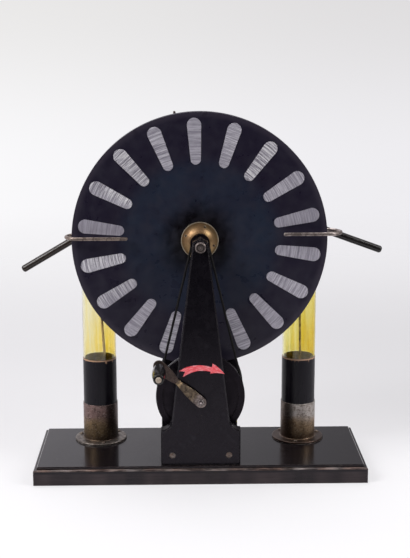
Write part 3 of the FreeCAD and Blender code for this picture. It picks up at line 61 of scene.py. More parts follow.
# Node building
class Nodes:
    """Adds nodes to a tree. An input given as a socket is linked, and any other value is set."""

    def __init__(self, tree):
        self.tree = tree

    def fill(self, socket, value):
        if isinstance(value, bpy.types.NodeSocket):
            self.tree.links.new(value, socket)
        else:
            socket.default_value = value

    def add(self, kind, inputs=None, **settings):
        node = self.tree.nodes.new(kind)
        for name, value in settings.items():
            setattr(node, name, value)
        for name, value in (inputs or {}).items():
            self.fill(node.inputs[name], value)
        return node

    def sum(self, operation, *values, clamp=False):
        inputs = dict(enumerate(values))
        return self.add("ShaderNodeMath", inputs, operation=operation, use_clamp=clamp).outputs[0]

    def times(self, first, second, clamp=False):
        return self.sum("MULTIPLY", first, second, clamp=clamp)

    def vector(self, operation, *values):
        node = self.add("ShaderNodeVectorMath", operation=operation)
        for place, value in enumerate(values):
            socket = node.inputs["Scale"] if operation == "SCALE" and place == 1 else node.inputs[place]
            self.fill(socket, value)
        return node.outputs["Value" if operation in ("DOT_PRODUCT", "LENGTH") else "Vector"]

    def noise(self, vector, scale, detail=3.0, roughness=0.55, distortion=0.0):
        inputs = {"Vector": vector, "Scale": scale, "Detail": detail, "Roughness": roughness}
        inputs["Distortion"] = distortion
        return self.add("ShaderNodeTexNoise", inputs).outputs["Fac"]

    def spread(self, value, low, high, start=0.0, end=1.0, smooth=True):
        """The value's range low to high laid over start to end."""
        kind = "SMOOTHSTEP" if smooth else "LINEAR"
        inputs = {"Value": value, "From Min": low, "From Max": high, "To Min": start, "To Max": end}
        return self.add("ShaderNodeMapRange", inputs, interpolation_type=kind).outputs["Result"]

    def mix(self, share, first, second, blend="MIX"):
        """Two colours mixed; the places are those of the mix node's factor and colour sockets."""
        node = self.add("ShaderNodeMix", data_type="RGBA", blend_type=blend)
        self.fill(node.inputs[0], share)
        for place, value in ((6, first), (7, second)):
            linked = isinstance(value, bpy.types.NodeSocket)
            self.fill(node.inputs[place], value if linked else colour(value))
        return node.outputs[2]

    def parts(self, vector):
        return self.add("ShaderNodeSeparateXYZ", {"Vector": vector}).outputs

    def join(self, x, y, z):
        return self.add("ShaderNodeCombineXYZ", {"X": x, "Y": y, "Z": z}).outputs["Vector"]

    def upended(self, place):
        """The place with its height first, so that grain runs upwards."""
        x, y, z = self.parts(place)
        return self.join(z, y, x)

    def place(self, origin=(0.0, 0.0, 0.0), stretch=(1.0, 1.0, 1.0)):
        """Object coordinates in millimetres from an origin in metres, stretched along each axis."""
        source = self.add("ShaderNodeTexCoord").outputs["Object"]
        inputs = {"Vector": source, "Location": [-o * s / MM for o, s in zip(origin, stretch)]}
        inputs["Scale"] = [s / MM for s in stretch]
        return self.add("ShaderNodeMapping", inputs).outputs["Vector"]

    def bump(self, height, depth, strength=1.0, below=None):
        """A normal from a height of 0 to 1 that stands for a depth in millimetres."""
        inputs = {"Height": height, "Distance": depth * MM, "Strength": strength}
        if below is not None:
            inputs["Normal"] = below
        return self.add("ShaderNodeBump", inputs).outputs["Normal"]

    def group(self, tree, **inputs):
        node = self.add("ShaderNodeGroup", node_tree=tree)
        for name, value in inputs.items():
            self.fill(node.inputs[name.replace("_", " ").capitalize()], value)
        return node.outputs


def colour(rgb):
    return (*rgb, 1.0)


def new_group(name, inputs, outputs):
    """An empty group tree with named float or vector inputs, and its builder, inputs and output node."""
    tree = bpy.data.node_groups.new(name, "ShaderNodeTree")
    for label, default in inputs.items():
        kind = "NodeSocketVector" if default is None else "NodeSocketFloat"
        socket = tree.interface.new_socket(label, in_out="INPUT", socket_type=kind)
        if default is not None:
            socket.default_value = default
    for label in outputs:
        tree.interface.new_socket(label, in_out="OUTPUT", socket_type="NodeSocketFloat")
    n = Nodes(tree)
    return tree, n, n.add("NodeGroupInput").outputs, n.add("NodeGroupOutput").inputs


# Wear along the edges of a solid, broken up by noise
def edge_wear_group():
    inputs = {"Place": None, "Reach": 0.5, "Patch": 6.0, "Worn": 0.5}
    tree, n, given, out = new_group("edge_wear", inputs, ["Mask", "Edge"])
    radius = n.times(given["Reach"], MM)
    rounded = n.add("ShaderNodeBevel", {"Radius": radius}, samples=6).outputs["Normal"]
    facing = n.add("ShaderNodeNewGeometry").outputs["Normal"]
    edge = n.spread(n.sum("SUBTRACT", 1.0, n.vector("DOT_PRODUCT", rounded, facing)), 0.02, 0.22)
    patches = n.noise(given["Place"], n.sum("DIVIDE", 1.0, given["Patch"]), 4.0, 0.65)
    limit = n.sum("SUBTRACT", 1.0, given["Worn"])
    broken = n.spread(patches, n.times(limit, 0.75), n.sum("MULTIPLY_ADD", limit, 0.75, 0.18))
    n.fill(out["Mask"], n.times(edge, broken, clamp=True))
    n.fill(out["Edge"], edge)
    return tree


# Wood grain along the first axis of the place given: long fibres and short open pores
def wood_grain_group():
    tree, n, given, out = new_group("wood_grain", {"Place": None, "Fibre": 1.1}, ["Fibres", "Pores"])
    long_way = n.vector("MULTIPLY", given["Place"], (0.05, 1.0, 1.0))
    thick = n.sum("DIVIDE", 1.0, given["Fibre"])
    n.fill(out["Fibres"], n.noise(long_way, thick, 6.0, 0.6, 0.4))
    pores = n.noise(n.vector("MULTIPLY", given["Place"], (0.12, 1.6, 1.6)), thick, 2.0, 0.5)
    n.fill(out["Pores"], n.spread(pores, 0.60, 0.72))
    return tree


# Patches and specks of tarnish
def patina_group():
    tree, n, given, out = new_group("patina", {"Place": None, "Patch": 9.0}, ["Patches", "Specks"])
    scale = n.sum("DIVIDE", 1.0, given["Patch"])
    patches = n.noise(given["Place"], scale, 5.0, 0.62, 0.6)
    n.fill(out["Patches"], n.spread(patches, 0.32, 0.68))
    specks = n.noise(given["Place"], n.times(scale, 9.0), 3.0, 0.7)
    n.fill(out["Specks"], n.spread(specks, 0.52, 0.74))
    return tree


# Fine rings round an axis, from the two distances across it
def lathe_group():
    inputs = {"Across": 0.0, "Up": 0.0, "Width": 0.4, "Along": 0.0}
    tree, n, given, out = new_group("lathe", inputs, ["Radius", "Turn", "Rings"])
    across, up = given["Across"], given["Up"]
    radius = n.sum("SQRT", n.sum("ADD", n.times(across, across), n.times(up, up)))
    turn = n.sum("ARCTAN2", up, across)
    marks = n.join(radius, given["Along"], n.times(n.sum("SINE", turn), 0.25))
    n.fill(out["Radius"], radius)
    n.fill(out["Turn"], turn)
    n.fill(out["Rings"], n.noise(marks, n.sum("DIVIDE", 1.0, given["Width"]), 3.0, 0.6))
    return tree


# Handling marks: soft smudges and thin scratches
def handling_group():
    tree, n, given, out = new_group("handling", {"Place": None, "Smudge": 22.0}, ["Smudges", "Scratches"])
    smudges = n.noise(given["Place"], n.sum("DIVIDE", 1.0, given["Smudge"]), 4.0, 0.6, 0.8)
    n.fill(out["Smudges"], n.spread(smudges, 0.30, 0.75))
    thin = n.vector("MULTIPLY", given["Place"], (0.35, 0.35, 0.05))
    bent = n.add("ShaderNodeVectorRotate", {"Vector": thin, "Angle": 0.6}, rotation_type="Y_AXIS")
    scratches = n.noise(bent.outputs["Vector"], 2.6, 2.0, 0.5, 0.3)
    n.fill(out["Scratches"], n.spread(n.sum("ABSOLUTE", n.sum("SUBTRACT", scratches, 0.5)), 0.012, 0.0))
    return tree


# Dust that lies on what faces up
def dust_group():
    tree, n, given, out = new_group("dust", {"Place": None, "Amount": 0.4}, ["Mask"])
    facing = n.parts(n.add("ShaderNodeNewGeometry").outputs["Normal"])["Z"]
    level = n.spread(facing, 0.35, 0.95)
    grains = n.spread(n.noise(given["Place"], 0.9, 5.0, 0.7), 0.35, 0.75, 0.25, 1.0)
    n.fill(out["Mask"], n.times(n.times(level, grains), given["Amount"], clamp=True))
    return tree


EDGE_WEAR = edge_wear_group()
WOOD_GRAIN = wood_grain_group()
PATINA = patina_group()
LATHE = lathe_group()
HANDLING = handling_group()
DUST = dust_group()

# Board: stain, its pores, dust, the bare edges and the thinner stain in front
STAIN_DARK, STAIN_LIGHT = (0.0020, 0.0015, 0.0022), (0.0075, 0.0053, 0.0070)
STAIN_PORE, BOARD_DUST = (0.002, 0.0015, 0.002), (0.16, 0.15, 0.145)
BARE_GREY, BARE_BROWN = (0.240, 0.212, 0.205), (0.180, 0.118, 0.098)
THIN_STAIN_DARK, THIN_STAIN_LIGHT = (0.018, 0.012, 0.013), (0.055, 0.040, 0.040)

# Uprights: paint, smudges, scratches, worn edges with a painted highlight along the shoulders' edges, and
# dust
PAINT_DARK, PAINT_LIGHT = (0.0022, 0.0018, 0.0030), (0.0062, 0.0052, 0.0078)
PAINT_SMUDGE, PAINT_SCRATCH = (0.022, 0.021, 0.026), (0.05, 0.048, 0.055)
PAINT_WORN_AND_HIGHLIGHT, PAINT_DUST = (0.230, 0.215, 0.212), (0.17, 0.15, 0.13)

# Discs: hard rubber, its bloom that is partly painted sheen, painted shade round the hub, a painted
# highlight on the rim, worn edges and mottling
EBONITE, EBONITE_BLOOM_AND_SHEEN = (0.0150, 0.0120, 0.0250), (0.0170, 0.0235, 0.0430)
EBONITE_HUB_SHADE, EBONITE_RIM_HIGHLIGHT = (0.0025, 0.0018, 0.0030), (0.050, 0.042, 0.060)
EBONITE_WORN = (0.085, 0.078, 0.090)
EBONITE_PALE, EBONITE_DEEP = (0.028, 0.026, 0.040), (0.010, 0.008, 0.016)

# Foils: streaks, bright lines and scratches
FOIL_DARK, FOIL_LIGHT = (0.255, 0.238, 0.292), (0.560, 0.528, 0.615)
FOIL_BRIGHT_LINE, FOIL_SCRATCH = (1.0, 0.98, 1.0), (0.15, 0.135, 0.16)
FOIL_DULL = (0.17, 0.155, 0.19)

# Crank's arm from its hub to the grip, with its stains, specks and worn edges
ARM_GREY, ARM_GOLDEN = (0.300, 0.245, 0.235), (0.200, 0.150, 0.098)
ARM_BROWN, ARM_WAIST = (0.085, 0.058, 0.052), (0.66, 0.47, 0.27)
ARM_STAIN, ARM_SPECK, ARM_WORN = (0.040, 0.027, 0.024), (0.52, 0.44, 0.36), (0.46, 0.38, 0.31)

# Cups and hubs
CUP_SPECK, CUP_EDGE_HIGHLIGHT = (0.50, 0.44, 0.40), (0.78, 0.70, 0.64)
HUB_YELLOW, HUB_OLIVE = (0.36, 0.222, 0.115), (0.29, 0.200, 0.095)
HUB_STAIN, HUB_RING = (0.215, 0.118, 0.058), (0.14, 0.088, 0.05)
HUB_SPECK, HUB_WORN = (0.08, 0.050, 0.03), (0.80, 0.70, 0.54)

# Rust, wheels with a painted highlight on their rims, and cord, and the dust on brass and on the handles
STEEL_RUST = (0.10, 0.060, 0.045)
BRASS_DUST, HANDLE_DUST = (0.24, 0.215, 0.19), (0.15, 0.14, 0.13)
WHEEL_DARK, WHEEL_LIGHT = (0.0025, 0.0020, 0.0032), (0.0075, 0.0065, 0.0090)
WHEEL_RIM_HIGHLIGHT, WHEEL_DUST = (0.95, 0.93, 0.97), (0.14, 0.135, 0.14)
CORD_DARK, CORD_LIGHT = (0.0040, 0.0034, 0.0042), (0.013, 0.011, 0.012)
CORD_FLUFF = (0.055, 0.048, 0.045)

# Glass, the coatings with their copper edge and inner side, the foil inside, the bone pin and the red arrow
CLEAR_GLASS, GLASS_IOR = (0.93, 0.95, 0.94), 1.47
COATING_DARK, COATING_LIGHT = (0.0055, 0.0042, 0.0075), (0.0125, 0.0105, 0.0160)
COPPER_DARK, COPPER_LIGHT = (0.36, 0.17, 0.095), (0.66, 0.44, 0.30)
BACKING_DARK, BACKING_LIGHT = (0.080, 0.060, 0.018), (0.180, 0.125, 0.040)
INNER_DARK, INNER_LIGHT = (0.085, 0.062, 0.020), (0.190, 0.135, 0.045)
INNER_SPECK = (0.05, 0.035, 0.014)
BONE_PALE, BONE_DARK, BONE_CRACK = (0.52, 0.44, 0.36), (0.33, 0.26, 0.20), (0.20, 0.13, 0.08)
RED_DEEP, RED_PALE, RED_SPECK = (0.90, 0.060, 0.085), (1.0, 0.40, 0.43), (0.60, 0.030, 0.045)

# Tints of the shine on the board, the uprights and the wheels
BOARD_SHINE, PAINT_SHINE, WHEEL_SHINE = (1.0, 0.93, 1.0), (0.98, 0.88, 1.0), (1.0, 0.84, 1.0)

# Bands over which finishes change, in millimetres of height, of radius or along the crank's arm
BOARD_ARRIS = (BOARD_LOW.z / MM + 16.0, BOARD_LOW.z / MM + 18.2)
SHOULDER_HIGHLIGHT_START, SHOULDER_HIGHLIGHT_END = (58.0, 66.0), (92.0, 80.0)
DISC_HUB_SHADE, DISC_BLOOM_AND_SHEEN_END, DISC_RIM_HIGHLIGHT = (27.0, 60.0), (104.0, 80.0), (141.0, 148.0)
HUB_RIM, CUP_BRIM, WHEEL_RIM = (20.7, 21.5), (22.6, 23.6), (49.5, 51.0)
ARM_HUB_END, ARM_GRIP_START = (8.0, 15.0), (34.0, 42.0)
ARM_WAIST_START, ARM_WAIST_END = (34.0, 37.0), (41.0, 38.0)

# Turns round the axles, in radians, at which the wheels' rims carry a painted highlight and some of the
# foils have bright lines
WHEEL_HIGHLIGHT_TURN = 2.16
BRIGHT_FOILS = ((2.44, (0.95, 0.985)), (0.90, (0.970, 0.99, 0.0, 0.9)), (3.50, (0.95, 0.99, 0.0, 0.8)))
SECTORS = 18


# Finishes
def finish(name, build):
    """A material whose builder gives its shader's inputs: a socket is linked, and a plain value is set."""
    material = bpy.data.materials.new(name)
    material.use_nodes = True
    n = Nodes(material.node_tree)
    shader = material.node_tree.nodes["Principled BSDF"]
    for label, value in build(n).items():
        n.fill(shader.inputs[label], value)
    return material


def surface(base, rough, relief):
    """The inputs that the finishes of the object have in common."""
    return {"Base Color": base, "Roughness": rough, "Normal": relief}


def stained_wood(n):
    """Black stained and varnished board, bare along its front edges."""
    place = n.place()
    grain = n.group(WOOD_GRAIN, place=place, fibre=1.3)
    wear = n.group(EDGE_WEAR, place=n.place(stretch=(0.35, 1.0, 1.0)), reach=0.9, patch=7.0, worn=0.50)
    marks = n.group(HANDLING, place=place, smudge=34.0)
    dust = n.group(DUST, place=place, amount=0.02)
    stain = n.mix(n.spread(grain["Fibres"], 0.3, 0.7), STAIN_DARK, STAIN_LIGHT)
    stain = n.mix(n.times(grain["Pores"], 0.6), stain, STAIN_PORE)
    x, y, height = n.parts(place)
    bare_shade = n.noise(n.join(n.times(x, 0.02), 0.0, 0.0), 1.0, 2.0)
    pale_mark = n.mix(n.spread(bare_shade, 0.35, 0.6), BARE_GREY, BARE_BROWN)
    low, high = BOARD_ARRIS
    ahead = n.spread(y, BOARD_LOW.y / MM + 4.0, BOARD_LOW.y / MM + 2.0)
    arris = n.times(n.spread(height, low + 0.4, low + 1.4), n.spread(height, high + 1.0, high + 0.5))
    edges = n.times(n.spread(height, low, high), wear["Edge"])
    lip = n.sum("MAXIMUM", n.times(arris, ahead), edges)
    frays = n.noise(n.vector("MULTIPLY", place, (0.05, 0.4, 0.4)), 1.0, 4.0, 0.7)
    frayed = n.spread(frays, 0.38, 0.62, 0.15, 1.0)
    thin = n.times(n.spread(height, low - 1.0, low - 3.0), n.spread(bare_shade, 0.30, 0.70))
    thin_stain = n.mix(grain["Fibres"], THIN_STAIN_DARK, THIN_STAIN_LIGHT)
    stain = n.mix(n.times(thin, 0.9), stain, thin_stain)
    base = n.mix(n.sum("MAXIMUM", wear["Mask"], n.times(lip, frayed)), stain, pale_mark)
    base = n.mix(dust["Mask"], base, BOARD_DUST)
    rough = n.spread(marks["Smudges"], 0.0, 1.0, 0.09, 0.20)
    rough = n.sum("ADD", rough, n.times(wear["Mask"], 0.30))
    rough = n.sum("ADD", rough, n.times(marks["Scratches"], 0.10))
    relief = n.bump(grain["Fibres"], 0.035, 0.5)
    relief = n.bump(grain["Pores"], -0.05, 0.5, relief)
    shine = {"Specular IOR Level": 0.31, "Specular Tint": colour(BOARD_SHINE)}
    return {**surface(base, rough, relief), **shine}


def painted_wood(n):
    """Satin black paint on upright boards, with brush strokes, rubbed edges, a painted highlight along the
    edges of the shoulders and grey smudges.
    """
    place = n.place()
    grain = n.group(WOOD_GRAIN, place=n.upended(place), fibre=0.9)
    wear = n.group(EDGE_WEAR, place=place, reach=0.6, patch=10.0, worn=0.70)
    marks = n.group(HANDLING, place=place, smudge=15.0)
    dust = n.group(DUST, place=place, amount=0.06)
    paint = n.mix(grain["Fibres"], PAINT_DARK, PAINT_LIGHT)
    smudged = n.spread(marks["Smudges"], 0.72, 1.0, 0.0, 0.4)
    paint = n.mix(smudged, paint, PAINT_SMUDGE)
    paint = n.mix(n.times(marks["Scratches"], 0.16), paint, PAINT_SCRATCH)
    height = n.parts(place)["Z"]
    top = UPRIGHT_HIGH.z / MM
    head = n.spread(height, top - 34.0, top - 16.0, 0.45, 1.6)
    # Painted highlight: an unbroken light band along the shoulders' edges, in the worn paint's colour
    shoulder_highlight = n.times(n.spread(height, *SHOULDER_HIGHLIGHT_START), n.spread(height, *SHOULDER_HIGHLIGHT_END))
    worn = n.times(wear["Mask"], head, clamp=True)
    worn = n.sum("MAXIMUM", worn, n.times(wear["Edge"], n.times(shoulder_highlight, 0.8)))
    paint = n.mix(worn, paint, PAINT_WORN_AND_HIGHLIGHT)
    paint = n.mix(dust["Mask"], paint, PAINT_DUST)
    rough = n.spread(marks["Smudges"], 0.0, 1.0, 0.22, 0.34)
    relief = n.bump(grain["Fibres"], 0.03, 0.45)
    facing = n.parts(n.add("ShaderNodeNewGeometry").outputs["Normal"])["Z"]
    sheen = n.spread(facing, 0.10, 0.60, 0.21, 0.02)
    shine = {"Specular IOR Level": sheen, "Specular Tint": colour(PAINT_SHINE)}
    return {**surface(paint, rough, relief), **shine}


def disc_ebonite(centre):
    """Polished hard rubber, turned on its face, with painted shade round the hub, a bluish bloom between
    the hub and the foils that is partly painted sheen, and a painted highlight on the rim.
    """

    def build(n):
        place = n.place(origin=centre)
        x, _, z = n.parts(place)
        rings = n.group(LATHE, across=x, up=z, width=6.0, along=0.0)
        marks = n.group(HANDLING, place=place, smudge=30.0)
        wear = n.group(EDGE_WEAR, place=place, reach=0.3, patch=9.0, worn=0.7)
        # Painted shade: a dark ring round the hub, where the hub's flange shades the disc
        inner = n.spread(n.sum("MULTIPLY_ADD", marks["Smudges"], 10.0, rings["Radius"]), *DISC_HUB_SHADE)
        # Bluish bloom between the hub and the foils, partly painted sheen
        outer = n.spread(rings["Radius"], *DISC_BLOOM_AND_SHEEN_END)
        cloud = n.spread(n.noise(place, 0.022, 4.0, 0.6, 0.7), 0.25, 0.75, 0.45, 1.0)
        bloom_and_sheen = n.times(outer, cloud)
        base = n.mix(bloom_and_sheen, EBONITE, EBONITE_BLOOM_AND_SHEEN)
        base = n.mix(inner, EBONITE_HUB_SHADE, base)
        # Painted highlight: a paler band along the disc's rim
        rim = n.spread(rings["Radius"], *DISC_RIM_HIGHLIGHT, 0.0, 0.55)
        base = n.mix(rim, base, EBONITE_RIM_HIGHLIGHT)
        base = n.mix(n.times(wear["Mask"], 0.6), base, EBONITE_WORN)
        mottle = n.noise(place, 0.09, 2.0, 0.5)
        base = n.mix(n.spread(mottle, 0.42, 0.70, 0.0, 0.30), base, EBONITE_PALE)
        base = n.mix(n.spread(mottle, 0.42, 0.25, 0.0, 0.35), base, EBONITE_DEEP)
        rough = n.spread(n.sum("ADD", marks["Smudges"], mottle), 0.3, 1.5, 0.26, 0.42)
        relief = n.bump(rings["Rings"], 0.02, 0.5)
        return {**surface(base, rough, relief), "Specular IOR Level": 0.32}

    return build


def turned_ebonite(centre, dark, light, axis, gloss=(0.20, 0.40)):
    """Turned hard rubber of lids and handles; axis is the letter that it was turned about."""

    def build(n):
        place = n.place(origin=centre)
        parts = n.parts(place)
        across, up = [parts[letter] for letter in "XYZ" if letter != axis]
        rings = n.group(LATHE, across=across, up=up, width=0.9, along=parts[axis])
        marks = n.group(HANDLING, place=place, smudge=9.0)
        wear = n.group(EDGE_WEAR, place=place, reach=0.4, patch=5.0, worn=0.6)
        dust = n.group(DUST, place=place, amount=0.16)
        base = n.mix(n.spread(rings["Rings"], 0.3, 0.7), dark, light)
        base = n.mix(n.times(wear["Mask"], 0.5), base, [3.2 * part + 0.02 for part in light])
        base = n.mix(dust["Mask"], base, HANDLE_DUST)
        rough = n.spread(marks["Smudges"], 0.0, 1.0, *gloss)
        relief = n.bump(rings["Rings"], 0.02, 0.5)
        return {**surface(base, rough, relief), "Specular IOR Level": 0.42}

    return build


def sector_foil(centre, seed):
    """Dull tin foil in fine streaks, each foil a little different and some with bright lines."""

    def build(n):
        place = n.place(origin=centre)
        x, _, z = n.parts(place)
        rings = n.group(LATHE, across=x, up=z, width=1.0, along=0.0)
        turn = rings["Turn"]
        sector = n.sum("FLOOR", n.times(n.sum("ADD", turn, math.pi), SECTORS / (2 * math.pi)))
        chance = n.add("ShaderNodeTexWhiteNoise", {"W": n.sum("ADD", sector, seed)}, noise_dimensions="1D")
        own = chance.outputs["Value"]
        slant = n.times(n.sum("SUBTRACT", turn, own), 3.0)
        sway = n.times(n.sum("SINE", n.times(slant, 3.0)), 0.7)
        radius = n.sum("ADD", rings["Radius"], sway)
        fine = n.noise(n.join(n.times(radius, 0.85), slant, sector), 1.0, 5.0, 0.8)
        broad_place = n.join(n.times(radius, 0.33), n.times(slant, 0.6), sector)
        broad = n.noise(broad_place, 1.0, 2.0, 0.6)
        streaks = n.spread(n.sum("MULTIPLY_ADD", fine, 0.7, n.times(broad, 0.3)), 0.36, 0.64)
        crumple = n.noise(place, 0.16, 3.0, 0.55, 0.5)
        foil = n.mix(streaks, FOIL_DARK, FOIL_LIGHT)
        favour = n.times(own, 0.40)
        # Near-white lines on the foils that lie near these turns
        for bright_turn, reach in BRIGHT_FOILS:
            nearness = n.sum("COSINE", n.sum("SUBTRACT", turn, bright_turn))
            favour = n.sum("MAXIMUM", favour, n.spread(nearness, *reach))
        bright = n.times(n.spread(fine, 0.46, 0.58), n.spread(broad, 0.28, 0.48))
        dark = n.times(n.spread(fine, 0.48, 0.41), favour)
        foil = n.mix(n.times(bright, favour), foil, FOIL_BRIGHT_LINE)
        foil = n.mix(n.times(dark, 0.8), foil, FOIL_SCRATCH)
        foil = n.mix(n.spread(own, 0.0, 1.0, 0.20, 0.0, smooth=False), foil, FOIL_DULL)
        rough = n.spread(streaks, 0.0, 1.0, 0.58, 0.42)
        relief = n.bump(crumple, 0.05, 0.6, n.bump(fine, 0.02, 0.6))
        return {**surface(foil, rough, relief), "Metallic": 0.22}

    return build


def aged_brass(gold, brown, cover, rough_low=0.26, rough_high=0.52, patch=9.0, origin=(0.0, 0.0, 0.0)):
    """Lacquered brass gone brown in patches; cover is the share of it that is brown."""

    def build(n):
        place = n.place(origin=origin)
        stain = n.group(PATINA, place=place, patch=patch)
        wear = n.group(EDGE_WEAR, place=place, reach=0.45, patch=4.0, worn=0.75)
        marks = n.group(HANDLING, place=place, smudge=8.0)
        dust = n.group(DUST, place=place, amount=0.14)
        limit = 1.0 - cover
        covered = n.spread(stain["Patches"], limit - 0.35, limit + 0.35)
        bright_edge = [min(1.0, 1.45 * part + 0.04) for part in gold]
        base = n.mix(covered, gold, brown)
        base = n.mix(n.times(stain["Specks"], 0.45), base, [0.45 * part for part in brown])
        base = n.mix(n.times(wear["Mask"], 0.6), base, bright_edge)
        base = n.mix(dust["Mask"], base, BRASS_DUST)
        dulled = n.sum("ADD", covered, n.times(marks["Smudges"], 0.4))
        rough = n.spread(dulled, 0.0, 1.4, rough_low, rough_high)
        relief = n.bump(stain["Specks"], 0.03, 0.5)
        metal = n.spread(covered, 0.0, 1.0, 0.95, 0.78)
        return {**surface(base, rough, relief), "Metallic": metal}

    return build


def arm_bronze(centre, turn):
    """Mottled bronze of the crank's arm: grey at the hub, golden to the waist, dark brown by the grip."""

    def build(n):
        place = n.place(origin=centre)
        x, _, z = n.parts(place)
        out = n.sum("ADD", n.times(x, math.cos(turn)), n.times(z, math.sin(turn)))
        stain = n.group(PATINA, place=place, patch=3.2)
        wear = n.group(EDGE_WEAR, place=place, reach=0.5, patch=3.0, worn=0.7)
        wavy = n.sum("ADD", out, n.times(n.noise(place, 0.2, 2.0), 7.0))
        base = n.mix(n.spread(wavy, *ARM_HUB_END), ARM_GREY, ARM_GOLDEN)
        base = n.mix(n.spread(wavy, *ARM_GRIP_START), base, ARM_BROWN)
        waist = n.times(n.spread(wavy, *ARM_WAIST_START), n.spread(wavy, *ARM_WAIST_END))
        base = n.mix(n.times(waist, 0.9), base, ARM_WAIST)
        base = n.mix(n.times(stain["Patches"], 0.90), base, ARM_STAIN)
        base = n.mix(n.times(stain["Specks"], 0.5), base, ARM_SPECK)
        base = n.mix(n.times(wear["Mask"], 0.6), base, ARM_WORN)
        rough = n.spread(stain["Patches"], 0.0, 1.0, 0.34, 0.58)
        relief = n.bump(stain["Patches"], 0.06, 0.6, n.bump(stain["Specks"], 0.04, 0.6))
        return {**surface(base, rough, relief), "Metallic": 0.85}

    return build


def cup_brass(centre, low, high, shades, painted_shade_side):
    """Spun brass of a jar's cup: golden below, greyer above, with painted shade on the side by the discs
    and a painted highlight on its front edges.
    """
    golden, grey, dark, flange = shades

    def build(n):
        place = n.place(origin=centre)
        x, y, _ = n.parts(place)
        height = n.spread(n.parts(n.place())["Z"], low / MM, high / MM, smooth=False)
        stain = n.group(PATINA, place=place, patch=5.0)
        wear = n.group(EDGE_WEAR, place=place, reach=0.9, patch=4.0, worn=0.85)
        dust = n.group(DUST, place=place, amount=0.10)
        soft = n.noise(place, 0.045, 2.0, 0.5)
        fine = n.noise(n.vector("MULTIPLY", place, (1.0, 1.0, 2.0)), 0.45, 4.0, 0.7)
        base = n.mix(n.spread(n.sum("MULTIPLY_ADD", soft, 0.5, height), 0.65, 1.0), golden, grey)
        base = n.mix(n.spread(height, 0.28, 0.05, 0.0, 0.7), base, dark)
        # Painted shade: darker on the side by the discs, which the cup mirrors
        base = n.mix(n.spread(n.times(x, painted_shade_side), 3.0, 17.0, 0.0, 0.85), base, dark)
        spots = n.times(stain["Patches"], n.spread(fine, 0.40, 0.60, 0.25, 0.85))
        base = n.mix(spots, base, dark)
        base = n.mix(n.spread(fine, 0.44, 0.28, 0.0, 0.6), base, CUP_SPECK)
        brim = n.spread(n.vector("LENGTH", n.join(x, y, 0.0)), *CUP_BRIM)
        base = n.mix(brim, base, n.mix(stain["Patches"], flange, dark))
        # Painted highlight on the front edges of the cup's rim and flange
        bright_edge = n.times(wear["Edge"], n.spread(n.noise(place, 0.09, 3.0), 0.36, 0.56))
        bright_edge = n.times(bright_edge, n.spread(y, 12.0, -8.0))
        base = n.mix(bright_edge, base, CUP_EDGE_HIGHLIGHT)
        base = n.mix(dust["Mask"], base, BRASS_DUST)
        rough = n.spread(fine, 0.3, 0.7, 0.32, 0.50)
        relief = n.bump(fine, 0.03, 0.5)
        metal = n.spread(bright_edge, 0.0, 1.0, 0.88, 0.35)
        return {**surface(base, rough, relief), "Metallic": metal}

    return build


def hub_brass(centre):
    """Turned brass of the hub flanges: lathe rings, a bright rim and brown patches."""

    def build(n):
        place = n.place(origin=centre)
        x, y, z = n.parts(place)
        rings = n.group(LATHE, across=x, up=z, width=0.5, along=y)
        stain = n.group(PATINA, place=place, patch=8.0)
        wear = n.group(EDGE_WEAR, place=place, reach=0.5, patch=5.0, worn=0.8)
        tone = n.spread(n.noise(place, 0.055, 2.0, 0.5), 0.38, 0.62)
        base = n.mix(tone, HUB_YELLOW, HUB_OLIVE)
        base = n.mix(n.times(stain["Patches"], 0.6), base, HUB_STAIN)
        base = n.mix(n.spread(rings["Rings"], 0.42, 0.7, 0.0, 0.30), base, HUB_RING)
        base = n.mix(n.times(stain["Specks"], 0.5), base, HUB_SPECK)
        rim = n.spread(rings["Radius"], *HUB_RIM, 0.0, 0.75)
        base = n.mix(n.sum("MAXIMUM", rim, n.times(wear["Mask"], 0.7)), base, HUB_WORN)
        rough = n.spread(stain["Patches"], 0.0, 1.0, 0.42, 0.54)
        relief = n.bump(rings["Rings"], 0.02, 0.6)
        return {**surface(base, rough, relief), "Metallic": 0.95}

    return build


def turned_steel(centre, dark, light, groove=(3.4, 4.1), pip=0.9):
    """Dull steel with the rings of its turning, a dark groove, a bright pip and brown specks of rust."""

    def build(n):
        place = n.place(origin=centre)
        x, y, z = n.parts(place)
        rings = n.group(LATHE, across=x, up=z, width=0.45, along=y)
        rust = n.group(PATINA, place=place, patch=5.0)
        wear = n.group(EDGE_WEAR, place=place, reach=0.35, patch=3.0, worn=0.8)
        base = n.mix(n.spread(rings["Rings"], 0.35, 0.65), dark, light)
        base = n.mix(n.times(rust["Specks"], 0.5), base, STEEL_RUST)
        inside = n.spread(rings["Radius"], groove[0] - 0.3, groove[0])
        outside = n.spread(rings["Radius"], groove[1] + 0.3, groove[1])
        base = n.mix(n.times(n.times(inside, outside), 0.8), base, [0.25 * part for part in dark])
        pip_mask = n.spread(rings["Radius"], pip + 0.4, pip - 0.4, 0.0, 0.9)
        base = n.mix(pip_mask, base, [1.9 * part for part in light])
        base = n.mix(n.times(wear["Mask"], 0.35), base, [1.3 * part for part in light])
        rough = n.spread(rust["Patches"], 0.0, 1.0, 0.30, 0.50)
        relief = n.bump(rings["Rings"], 0.025, 0.7)
        return {**surface(base, rough, relief), "Metallic": 0.92}

    return build


def screw_head(painted_shadow, rust):
    """A screw's dull head, with patches of rust."""

    def build(n):
        place = n.place()
        stain = n.group(PATINA, place=place, patch=2.4)
        wear = n.group(EDGE_WEAR, place=place, reach=0.3, patch=2.0, worn=0.8)
        base = n.mix(stain["Patches"], painted_shadow, rust)
        base = n.mix(n.times(wear["Mask"], 0.6), base, [min(1.0, 1.7 * part) for part in painted_shadow])
        rough = n.spread(stain["Patches"], 0.0, 1.0, 0.32, 0.58)
        relief = n.bump(stain["Specks"], 0.04, 0.7)
        return {**surface(base, rough, relief), "Metallic": 0.85}

    return build


